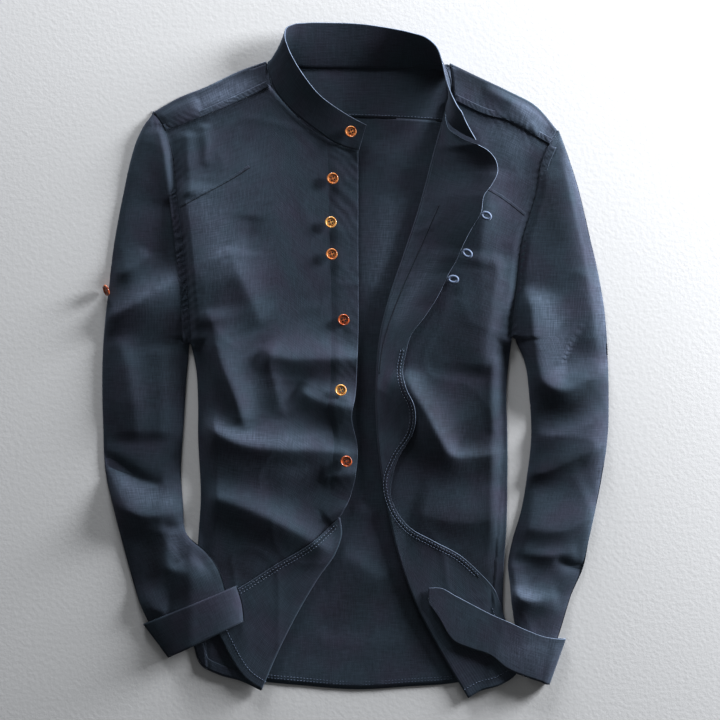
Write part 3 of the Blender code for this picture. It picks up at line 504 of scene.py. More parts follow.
def coons(bottom: Array, top: Array, left: Array, right: Array) -> Array:
    """Fills the area between four curves that share their corners.

    Args:
        bottom: Points from the lower left corner to the lower right.
        top: As many points from the upper left corner to the upper right.
        left: Points from the lower left corner to the upper left.
        right: As many points from the lower right corner to the upper right.

    Returns:
        Rows of plan points, from bottom to top.
    """
    v = np.linspace(0, 1, len(left))[:, None, None]
    u = np.linspace(0, 1, len(bottom))[None, :, None]
    across = (1 - u) * left[:, None] + u * right[:, None]
    along = (1 - v) * bottom[None] + v * top[None]
    low = (1 - u) * bottom[0] + u * bottom[-1]
    high = (1 - u) * top[0] + u * top[-1]
    return across + along - (1 - v) * low - v * high


def strip_between(bottom: Array, top: Array, left: Array, right: Array) -> Array:
    """Fills a long strip: its ends follow their curves, and the rows between them run straight across.

    Args:
        bottom: Points from the lower left corner to the lower right.
        top: As many points from the upper left corner to the upper right.
        left: Points from the lower left corner to the upper left.
        right: As many points from the lower right corner to the upper right.

    Returns:
        Rows of plan points, from bottom to top.
    """
    u = np.linspace(0, 1, len(bottom))[None, :, None]
    v = np.linspace(0, 1, len(left))[:, None, None]
    straight = (1 - u) * left[:, None] + u * right[:, None]
    middle = smooth((v - 0.06) / 0.16) * smooth((0.95 - v) / 0.1)
    return coons(bottom, top, left, right) * (1 - middle) + straight * middle


def follow(plan: Array, line: Array) -> tuple[Array, Array]:
    """Measures points against a curve.

    Args:
        plan: Points in plan.
        line: Points of the curve.

    Returns:
        The distance of each point, above 0 on the curve's left, and its place along the curve.
    """
    start, step = line[:-1], np.diff(line, axis=0)
    offset = plan[..., None, :] - start
    t = np.clip((offset * step).sum(-1) / (step * step).sum(-1), 0, 1)
    away = offset - t[..., None] * step
    distance = np.linalg.norm(away, axis=-1)
    nearest = distance.argmin(-1)[..., None]
    side = step[:, 0] * offset[..., 1] - step[:, 1] * offset[..., 0]
    picked = [np.take_along_axis(values, nearest, -1)[..., 0] for values in (distance, side, t)]
    place = lengths(line)
    along = place[nearest[..., 0]] + picked[2] * np.diff(place)[nearest[..., 0]]
    return picked[0] * np.where(picked[1] < 0, -1.0, 1.0), along


def relief(plan: Array, folds: Sequence[Fold]) -> Array:
    """Height that folds give each point of a plan.

    Args:
        plan: Points in plan.
        folds: Creases, each of which dies out at both ends.

    Returns:
        The height at each point.
    """
    flat = plan.reshape(-1, 2)
    height = np.zeros(len(flat))
    for fold in folds:
        line = spline(fold.crest, 8 * len(fold.crest))
        reach = 2.6 * line[:, 2:4].max()
        near = np.all((flat > line[:, :2].min(0) - reach) & (flat < line[:, :2].max(0) + reach), axis=1)
        if not near.any():
            continue
        distance, along = follow(flat[near], line[:, :2])
        place = lengths(line[:, :2])
        left, right, rise = (np.interp(along, place, column) for column in line[:, 2:].T)
        share = along / place[-1]
        blend = smooth(0.5 + distance / 6)
        width = left * blend + right * (1 - blend)
        ends = smooth(np.minimum(share, 1 - share) * fold.fade)
        height[near] += rise * ends * np.exp(-((np.abs(distance) / width) ** fold.sharpness))
    return height.reshape(plan.shape[:-1])


def noise(plan: Array, grain: float, seed: int) -> Array:
    """Smooth seeded noise from -1 to 1, with bumps about grain millimetres across."""
    table = np.random.default_rng(seed).uniform(-1, 1, (97, 97))
    place = plan / grain + 500
    cell = np.floor(place).astype(int)
    t = smooth(place - cell)
    x, y = cell[..., 0], cell[..., 1]
    rows = [
        table[x % 97, (y + up) % 97] * (1 - t[..., 0]) + table[(x + 1) % 97, (y + up) % 97] * t[..., 0]
        for up in (0, 1)
    ]
    return rows[0] * (1 - t[..., 1]) + rows[1] * t[..., 1]


def crumple(plan: Array, seed: int) -> Array:
    """Soft dents of washed cloth, with a few fine creases, a few tenths of a millimetre high."""
    bend = np.stack([noise(plan, 61, seed + 5), noise(plan, 61, seed + 6)], axis=-1) * 22
    creases = (1 - np.abs(noise(plan + bend, 58, seed)) * 3.2).clip(0, 1) ** 2
    return 0.45 * creases + 1.1 * noise(plan, 72, seed + 2) + 0.22 * noise(plan, 19, seed + 3)


@dataclass(frozen=True)
class Pucker:
    """Ripples that a sewn seam draws into the cloth beside it."""

    line: tuple[Point, ...]
    rise: float = 0.4
    period: float = 8.5
    reach: float = 13.0
    slant: float = 0.7

    def height(self, plan: Array) -> Array:
        """Height of the ripples at each point of a plan."""
        flat = plan.reshape(-1, 2)
        line = spline(self.line, 10 * len(self.line))
        near = np.all((flat > line.min(0) - 25) & (flat < line.max(0) + 25), axis=1)
        height = np.zeros(len(flat))
        if near.any():
            distance, along = follow(flat[near], line)
            uneven = noise(flat[near], 17, 3)
            phase = (along + self.slant * distance) / self.period + 0.7 * uneven
            fade = np.exp(-((distance / self.reach) ** 2)) * (0.65 + 0.5 * uneven)
            height[near] = self.rise * fade * np.sin(2 * math.pi * phase)
        return height.reshape(plan.shape[:-1])


def x_on(table: Sequence[Point], y: Array) -> Array:
    """x of an upright curve at each y."""
    curve = spline(table, 160)
    order = np.argsort(curve[:, 1])
    return np.interp(y, curve[order, 1], curve[order, 0])


def raised(plan: Array, z: Array | float) -> Array:
    """Plan points with their heights."""
    return np.concatenate([plan, np.broadcast_to(z, plan.shape[:-1])[..., None]], axis=-1)


def moved_out(sheet: Array, distance: float | Array) -> Array:
    """A sheet moved along its own normals, upwards."""
    normal = np.cross(np.gradient(sheet, axis=1), np.gradient(sheet, axis=0))
    size = np.linalg.norm(normal, axis=-1)
    normal *= (np.sign(normal[..., 2]) / np.maximum(size, 1e-9))[..., None]
    return sheet + np.asarray(distance)[..., None] * normal if np.ndim(distance) else sheet + distance * normal


def inward(line: Array, towards: int) -> Array:
    """Unit directions across a fold line, to its left for 1 and to its right for -1."""
    return towards * (moved_sideways(line, 1.0) - line)


def turned(fold: Array, towards: Array, height: Height, radius: float = TURN_RADIUS) -> Array:
    """Carries cloth round a fold.

    Args:
        fold: Points along the fold.
        towards: Unit plan directions from the fold to the cloth.
        height: Height of the layer below.
        radius: Radius of the fold.

    Returns:
        One short row of points for each point of the fold, from the lower layer to the upper.
    """
    base = fold + radius * towards
    low = height(base)
    rows = []
    for angle in np.linspace(-math.pi / 2, math.pi / 2, 9):
        plan = base - radius * math.cos(angle) * towards
        rows.append(raised(plan, low + radius * (1 + math.sin(angle))))
    return np.stack(rows, axis=1)


def add_node(tree: bpy.types.NodeTree, kind: str, inputs: dict[str | int, Any] | None = None, **settings: Any):
    """Adds a shader node.

    Args:
        tree: The material's node tree.
        kind: The node's type, without its ShaderNode prefix.
        inputs: Values or linked output sockets for its inputs.
        settings: The node's own properties.

    Returns:
        The new node.
    """
    node = tree.nodes.new(f"ShaderNode{kind}")
    for name, value in settings.items():
        setattr(node, name, value)
    for name, value in (inputs or {}).items():
        if isinstance(value, bpy.types.NodeSocket):
            tree.links.new(value, node.inputs[name])
        else:
            node.inputs[name].default_value = value
    return node


def new_material(name: str) -> tuple[bpy.types.Material, bpy.types.NodeTree, bpy.types.Node]:
    """A material with its node tree and Principled shader."""
    material = bpy.data.materials.new(name)
    material.use_nodes = True
    return material, material.node_tree, material.node_tree.nodes["Principled BSDF"]


@dataclass(frozen=True)
class Linen:
    """Washed plain-weave linen and cotton, navy piece dye.

    The eye gets matt cloth, thicker threads that run on for a centimetre, and finished edges drawn
    lighter, partly washed out and partly a painted highlight, with painted shade in seam ditches.
    """

    name: str = "washed_navy_linen"
    dye: str = "39444d"
    violet: str = "3d3e4a"  # where the dye has taken unevenly
    # Lighter colour for finished edges and listed areas: partly washed-out dye, partly painted highlight and painted
    # light.
    faded_and_highlight: str = "737d8c"
    thread: float = 1.3  # real threads are 0.5 mm apart; drawn coarser, so that they show
    slub: float = 14.0  # length of a thick place in a thread
    roughness: float = 0.86
    sheen: float = 0.15

    def build(self) -> bpy.types.Material:
        """Makes the material."""
        material, tree, shader = new_material(self.name)
        place = add_node(tree, "UVMap", uv_map="cloth").outputs["UV"]
        warp, weft = (
            add_node(
                tree,
                "TexWave",
                {"Vector": place, "Scale": 0.31416 / (self.thread * MM), "Distortion": 1.2, "Detail": 1.0},
                bands_direction=direction,
            ).outputs["Fac"]
            for direction in ("X", "Y")
        )
        slubs = []
        for across, along in ((self.thread, self.slub), (self.slub, self.thread)):
            scale = (1 / (across * MM), 1 / (along * MM), 1.0)
            moved = add_node(tree, "Mapping", {"Vector": place, "Scale": scale}).outputs[0]
            slubs.append(add_node(tree, "TexNoise", {"Vector": moved, "Scale": 1.0, "Detail": 2.0}).outputs["Fac"])
        both = add_node(tree, "Math", {0: slubs[0], 1: slubs[1]}, operation="ADD").outputs[0]
        threads = add_node(tree, "Math", {0: warp, 1: weft}, operation="MULTIPLY").outputs[0]
        patch = add_node(tree, "TexNoise", {"Vector": place, "Scale": 16.0, "Detail": 3.0}).outputs["Fac"]
        tone = add_node(tree, "Math", {0: threads, 1: 0.16, 2: 0.45}, operation="MULTIPLY_ADD").outputs[0]
        tone = add_node(tree, "Math", {0: both, 1: 0.62, 2: tone}, operation="MULTIPLY_ADD").outputs[0]
        tone = add_node(tree, "Math", {0: patch, 1: 0.30, 2: tone}, operation="MULTIPLY_ADD").outputs[0]
        tone = add_node(tree, "Math", {0: tone, 1: 0.26}, operation="SUBTRACT").outputs[0]
        # The attribute carries washing and painted shading: lighter finished edges with a painted highlight, painted
        # shade in seam ditches and channels, and listed areas of washed-out dye, deeper dye, painted light and painted
        # shade.
        wear_and_painted_shading = add_node(tree, "Attribute", attribute_name="wear_and_painted_shading").outputs["Fac"]
        rubbed_and_highlit = add_node(tree, "Math", {0: wear_and_painted_shading, 1: both}, operation="MULTIPLY", use_clamp=True).outputs[0]
        # Its part below 0 darkens the cloth: painted shade, and deeper dye in a few listed areas.
        ditch = add_node(tree, "Math", {0: wear_and_painted_shading, 1: 0.0}, operation="MINIMUM").outputs[0]
        tone = add_node(tree, "Math", {0: ditch, 1: 1.0, 2: tone}, operation="MULTIPLY_ADD", use_clamp=False).outputs[0]
        tone = add_node(tree, "Math", {0: tone, 1: 0.12}, operation="MAXIMUM").outputs[0]
        cloud = add_node(tree, "TexNoise", {"Vector": place, "Scale": 22.0, "Detail": 3.0}).outputs["Fac"]
        share = add_node(tree, "MapRange", {0: cloud, 1: 0.40, 2: 0.70}).outputs[0]
        cloudy = add_node(
            tree,
            "Mix",
            {"Factor": share, 6: linear(self.dye), 7: linear(self.violet)},
            data_type="RGBA",
        ).outputs[2]
        # Mixes in the lighter colour along finished edges and in listed areas: washing, painted highlight and painted
        # light.
        dyed_and_highlit = add_node(
            tree,
            "Mix",
            {"Factor": rubbed_and_highlit, 6: cloudy, 7: linear(self.faded_and_highlight)},
            data_type="RGBA",
        ).outputs[2]
        colour = add_node(
            tree, "VectorMath", {0: dyed_and_highlit, "Scale": tone}, operation="SCALE"
        ).outputs[0]
        relief_fac = add_node(tree, "Math", {0: both, 1: threads}, operation="ADD").outputs[0]
        bump = add_node(tree, "Bump", {"Height": relief_fac, "Strength": 0.35, "Distance": 0.25 * MM})
        tree.links.new(colour, shader.inputs["Base Color"])
        tree.links.new(bump.outputs[0], shader.inputs["Normal"])
        shader.inputs["Roughness"].default_value = self.roughness
        shader.inputs["Specular IOR Level"].default_value = 0.25
        shader.inputs["Sheen Weight"].default_value = self.sheen
        shader.inputs["Sheen Roughness"].default_value = 0.5
        shader.inputs["Sheen Tint"].default_value = linear("c9d4e6")
        return material


@dataclass(frozen=True)
class SewingThread:
    """Spun polyester sewing thread: a soft satin line a little lighter than the cloth."""

    name: str = "navy_sewing_thread"
    colour: str = "6a778f"
    shade: str = "55606f"

    def build(self) -> bpy.types.Material:
        """Makes the material."""
        material, tree, shader = new_material(self.name)
        ply = add_node(tree, "TexNoise", {"Scale": 900.0})
        tint = add_node(
            tree,
            "Mix",
            {"Factor": ply.outputs["Fac"], 6: linear(self.colour), 7: linear(self.shade)},
            data_type="RGBA",
        )
        tree.links.new(tint.outputs[2], shader.inputs["Base Color"])
        shader.inputs["Roughness"].default_value = 0.6
        shader.inputs["Sheen Weight"].default_value = 0.2
        return material


@dataclass(frozen=True)
class HornResin:
    """Polished polyester resin cast to look like horn: warm, clouded and glossy."""

    name: str
    light: str
    dark: str

    def build(self) -> bpy.types.Material:
        """Makes the material."""
        material, tree, shader = new_material(self.name)
        place = add_node(tree, "TexCoord").outputs["Object"]
        clouds = add_node(tree, "TexNoise", {"Vector": place, "Scale": 160.0, "Detail": 3.0, "Distortion": 1.4})
        ramp = add_node(tree, "ValToRGB", {"Fac": clouds.outputs["Fac"]})
        ramp.color_ramp.elements[0].position = 0.35
        ramp.color_ramp.elements[0].color = linear(self.dark)
        ramp.color_ramp.elements[1].position = 0.62
        ramp.color_ramp.elements[1].color = linear(self.light)
        tree.links.new(ramp.outputs["Color"], shader.inputs["Base Color"])
        shader.inputs["Roughness"].default_value = 0.28
        shader.inputs["IOR"].default_value = 1.56
        shader.inputs["Coat Weight"].default_value = 0.5
        shader.inputs["Subsurface Weight"].default_value = 0.12
        shader.inputs["Subsurface Radius"].default_value = (0.003, 0.0014, 0.0006)
        return material


@dataclass(frozen=True)
class PaleFloor:
    """Primed canvas board, matt and nearly white, with a faint grain."""

    name: str = "pale_board"
    colour: str = "d8d6d2"

    def build(self) -> bpy.types.Material:
        """Makes the material."""
        material, tree, shader = new_material(self.name)
        place = add_node(tree, "TexCoord").outputs["Object"]
        grain = add_node(tree, "TexNoise", {"Vector": place, "Scale": 220.0, "Detail": 4.0})
        bump = add_node(tree, "Bump", {"Height": grain.outputs["Fac"], "Strength": 0.35, "Distance": 0.5 * MM})
        tree.links.new(bump.outputs[0], shader.inputs["Normal"])
        shader.inputs["Base Color"].default_value = linear(self.colour)
        shader.inputs["Roughness"].default_value = 0.9
        return material


class Edge(Enum):
    """Which boundary rows or columns of a sheet are finished edges, drawn lighter: partly washed out, partly a painted
    highlight.
    """

    FIRST_ROW = "first row"
    LAST_ROW = "last row"
    FIRST_COLUMN = "first column"
    LAST_COLUMN = "last column"


@dataclass
class Sheet:
    """A grid of points through the middle of a layer of cloth."""

    points: Array
    worn_and_painted_shading: tuple[Edge, ...] = ()
    tone: float = 0.0  # above 0 for washed-out cloth, below 0 for painted shade in the ditch of a seam or a channel
    rub_and_highlight: float = 1.0  # how much lighter its finished edges are drawn, washed out and with a painted highlight

    def __post_init__(self) -> None:
        """Adds a narrow row or column along each lighter edge, so that its washed-out look and painted highlight stay
        narrow.
        """
        near = EDGE_SHARE
        if Edge.FIRST_ROW in self.worn_and_painted_shading:
            extra = self.points[0] * (1 - near) + self.points[1] * near
            self.points = np.insert(self.points, 1, extra, axis=0)
        if Edge.LAST_ROW in self.worn_and_painted_shading:
            extra = self.points[-1] * (1 - near) + self.points[-2] * near
            self.points = np.insert(self.points, len(self.points) - 1, extra, axis=0)
        if Edge.FIRST_COLUMN in self.worn_and_painted_shading:
            extra = self.points[:, 0] * (1 - near) + self.points[:, 1] * near
            self.points = np.insert(self.points, 1, extra, axis=1)
        if Edge.LAST_COLUMN in self.worn_and_painted_shading:
            extra = self.points[:, -1] * (1 - near) + self.points[:, -2] * near
            self.points = np.insert(self.points, self.points.shape[1] - 1, extra, axis=1)

    def uv(self) -> Array:
        """Place of each point on the uncut cloth, in metres."""
        across = np.linalg.norm(np.diff(self.points, axis=1), axis=-1).mean(0)
        along = np.linalg.norm(np.diff(self.points, axis=0), axis=-1).mean(1)
        u = np.concatenate([[0], np.cumsum(across)])
        v = np.concatenate([[0], np.cumsum(along)])
        u = u - u.mean() + self.points[..., 0].mean()
        v = v - v.mean() + self.points[..., 1].mean()
        return np.stack(np.meshgrid(u, v), axis=-1) * MM

    def wear_and_painted_shading(self) -> Array:
        """How much lighter or darker each point is drawn: by default 1 along a finished edge, for washing and a painted
        highlight, and the tone elsewhere, below 0 for painted shade.
        """
        rows, columns = self.points.shape[:2]
        value = np.full((rows, columns), self.tone)
        if Edge.FIRST_ROW in self.worn_and_painted_shading:
            value[0] = self.rub_and_highlight
        if Edge.LAST_ROW in self.worn_and_painted_shading:
            value[-1] = self.rub_and_highlight
        if Edge.FIRST_COLUMN in self.worn_and_painted_shading:
            value[:, 0] = self.rub_and_highlight
        if Edge.LAST_COLUMN in self.worn_and_painted_shading:
            value[:, -1] = self.rub_and_highlight
        return value


def beside(line: Array, near: float, far: float, columns: int) -> Array:
    """Plan points of a strip beside a curve.

    Args:
        line: Points of the curve.
        near: Distance of the strip's first column from the curve, above 0 on its left.
        far: Distance of its last column.
        columns: How many columns it has.

    Returns:
        Rows of plan points, one row for each point of the curve.
    """
    return np.stack([moved_sideways(line, offset) for offset in np.linspace(near, far, columns)], axis=1)


@dataclass(frozen=True)
class Felled:
    """A sewn band of doubled cloth, drawn by its stitches into slanting ripples.

    side is 1 where the band lies on the left of its line and -1 where it lies on the right.
    """

    side: float = 1.0
    width: float = FELL_WIDTH
    lift: float = 0.5
    ripple: float = 0.45
    period: float = 5.4
    slant: float = 0.9
    ditch: float = -0.55  # tone of the painted shade in the seam's ditch
    ditch_width: float = 1.3

    def sheets(self, table: Sequence[Point], height: Height, seed: int = 7) -> list[Sheet]:
        """Makes the band and the ditch beside it.

        Args:
            table: The seam line.
            height: Height of the cloth under the band.
            seed: Seed of its unevenness.

        Returns:
            Two sheets.
        """
        line = spline(table, cells(table, 1.1) + 1)
        plan = beside(line, 0.0, self.side * self.width, 8)
        across = np.linspace(0, 1, 8)[None, :]
        along = lengths(line)[:, None]
        phase = (along + self.slant * self.width * across) / self.period + 0.9 * noise(plan, 13, seed)
        swell = np.sin(math.pi * np.clip(across, 0.04, 0.96)) ** 0.6
        uneven = 0.75 + 0.5 * noise(plan, 23, seed + 1)
        ripples = self.ripple * uneven * swell * np.sin(2 * math.pi * phase)
        z = height(plan) + self.lift * (0.55 + 0.45 * swell) + ripples
        # A dark strip of painted shade in the seam's ditch, flush with the cloth beside the band.
        ditch = beside(line, 0.0, -self.side * self.ditch_width, 3)
        return [
            Sheet(raised(plan, z)),
            Sheet(raised(ditch, height(ditch) + 0.1), tone=self.ditch),
        ]


@dataclass
class Workroom:
    """Holds the finishes and makes each piece of the shirt."""

    linen: bpy.types.Material
    thread: bpy.types.Material
    dark_thread: bpy.types.Material
    horns: tuple[bpy.types.Material, ...]
    stitches: list[tuple[Array, Array]] = field(default_factory=list)

    def keep(self, name: str, mesh: bpy.types.Mesh, material: bpy.types.Material, slot: str) -> bpy.types.Object:
        """Links a new piece, dresses it and lets it ride on the shirt.

        Args:
            name: The piece's name.
            mesh: Its mesh.
            material: Its finish.
            slot: Not used.

        Returns:
            The piece.
        """
        piece = bpy.data.objects.new(name, mesh)
        bpy.context.scene.collection.objects.link(piece)
        mesh.materials.append(material)
        mesh.shade_smooth()
        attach(piece, BODY)
        area = sum(face.area for face in mesh.polygons)
        LOG.info("%s: %d faces, %.4f square metres", name, len(mesh.polygons), area)
        return piece

    def cloth(
        self, name: str, sheets: Sequence[Sheet], thickness: float = CLOTH, slot: str = "linen"
    ) -> bpy.types.Object:
        """Makes one piece of cloth from sheets that share their edge points.

        Args:
            name: The piece's name.
            sheets: Its grids of points.
            thickness: Thickness of its layer.
            slot: Passed on to keep, which does not use it.

        Returns:
            The piece, with its wall as a Solidify modifier.
        """
        points, faces, uvs, wear_and_painted_shading, first = [], [], [], [], 0
        for sheet in sheets:
            rows, columns = sheet.points.shape[:2]
            index = np.arange(rows * columns).reshape(rows, columns) + first
            corners = (index[:-1, :-1], index[:-1, 1:], index[1:, 1:], index[1:, :-1])
            faces.append(np.stack([c.ravel() for c in corners], axis=1))
            points.append(sheet.points.reshape(-1, 3))
            uvs.append(sheet.uv().reshape(-1, 2))
            # Each point's value for the shader: lighter finished edges with a painted highlight, painted shade in seam
            # ditches and channels, and the listed areas of washed-out dye, deeper dye, painted light and painted shade.
            wear_and_painted_shading.append((sheet.wear_and_painted_shading() + relief(sheet.points[..., :2], WASH_AND_PAINTED_SHADING)).ravel())
            first += rows * columns
        face_list = np.concatenate(faces)
        mesh = bpy.data.meshes.new(name)
        mesh.from_pydata((np.concatenate(points) * MM).tolist(), [], face_list.tolist())
        layer = mesh.uv_layers.new(name="cloth")
        layer.data.foreach_set("uv", np.concatenate(uvs)[face_list.ravel()].ravel())
        worn_and_painted_shading = mesh.attributes.new("wear_and_painted_shading", "FLOAT", "POINT")
        worn_and_painted_shading.data.foreach_set("value", np.concatenate(wear_and_painted_shading))
        shape = bmesh.new()
        shape.from_mesh(mesh)
        bmesh.ops.remove_doubles(shape, verts=shape.verts, dist=0.02 * MM)
        bmesh.ops.recalc_face_normals(shape, faces=shape.faces)
        shape.to_mesh(mesh)
        shape.free()
        piece = self.keep(name, mesh, self.linen, slot)
        wall = piece.modifiers.new("wall", "SOLIDIFY")
        wall.thickness = thickness * MM
        wall.offset = 0.0
        return piece

    def stitch(self, line: Array, up: Array | None = None) -> None:
        """Lays a row of topstitches along a line of points on the cloth.

        Args:
            line: Points on the cloth's outside.
            up: Directions out of the cloth, straight up where none are given.
        """
        place = lengths(line)
        starts = np.arange(0, place[-1] - STITCH, STITCH + STITCH_GAP)
        ends = starts + STITCH
        take = lambda where, values: np.stack([np.interp(where, place, c) for c in values.T], axis=1)
        ups = np.tile((0.0, 0.0, 1.0), (len(line), 1)) if up is None else up
        self.stitches.append(
            (np.stack([take(starts, line), take(ends, line)], axis=1), take((starts + ends) / 2, ups))
        )

    def sew(self) -> bpy.types.Object:
        """Joins all topstitches into one mesh: each is a slim spindle lying on the cloth."""
        runs = np.concatenate([run for run, _ in self.stitches])
        ups = np.concatenate([up for _, up in self.stitches])
        ups = ups / np.linalg.norm(ups, axis=1)[:, None]
        along = runs[:, 1] - runs[:, 0]
        side = np.cross(along, ups)
        side *= (STITCH_WIDTH / 2 / np.linalg.norm(side, axis=1))[:, None]
        rise = ups * STITCH_WIDTH * 0.55
        middle = runs.mean(1) + 0.15 * ups
        points = [runs[:, 0] - 0.1 * ups, runs[:, 1] - 0.1 * ups]
        for share in (-0.32, 0.32):
            centre = middle + share * along
            points += [centre - side, centre + rise, centre + side]
        stacked = np.stack(points, axis=1)
        shape = (
            (0, 3, 2), (0, 4, 3), (2, 3, 6, 5), (3, 4, 7, 6), (1, 5, 6), (1, 6, 7), (0, 2, 4), (1, 7, 5),
            (2, 5, 7, 4),
        )
        count = len(stacked)
        faces = [tuple(corner + 8 * i for corner in face) for i in range(count) for face in shape]
        mesh = bpy.data.meshes.new("topstitching")
        mesh.from_pydata((stacked.reshape(-1, 3) * MM).tolist(), [], faces)
        return self.keep("topstitching", mesh, self.thread, "linen")


@dataclass
class FrontPanel:
    """The shape that both fronts share: a height over the plan, from side seam, seams and folds."""

    side: tuple[Point, ...]
    folds: tuple[Fold, ...]
    armhole: tuple[Point, ...]
    yoke_seam: tuple[Point, ...]
    puckers: tuple[Pucker, ...]
    seed: int

    def height(self, plan: Array) -> Array:
        """Middle of the panel's layer at each point of a plan."""
        x, y = plan[..., 0], plan[..., 1]
        level = HEM_Z + (SEAM_Z - HEM_Z) * smooth((y + 230) / 120)
        side_x = x_on(self.side, y)
        from_side = np.where(np.abs(x) < np.abs(side_x), np.abs(x - side_x), 0.0)
        climb = np.maximum(smooth(from_side / SIDE_REACH), smooth((y - ARMPIT_Y + 18) / 18))
        held, hidden = climb, np.zeros(plan.shape[:-1])
        inner = np.sign(self.side[0][0])
        for line, sign in ((self.armhole, inner), (self.yoke_seam, 1.0)):
            distance = follow(plan.reshape(-1, 2), spline(line, 60))[0].reshape(plan.shape[:-1]) * sign
            held = held * smooth(np.abs(distance) / SEAM_REACH)
            hidden = np.maximum(hidden, smooth((distance + 1.6) / 1.6))
        z = SIDE_Z + (level - SIDE_Z) * climb
        z = z + (FOLD_LIFT * relief(plan, self.folds) + crumple(plan, self.seed)) * held
        z = z + sum(pucker.height(plan) for pucker in self.puckers) * climb
        return np.maximum(z - TUCK_DROP * hidden, SIDE_Z - 0.2)


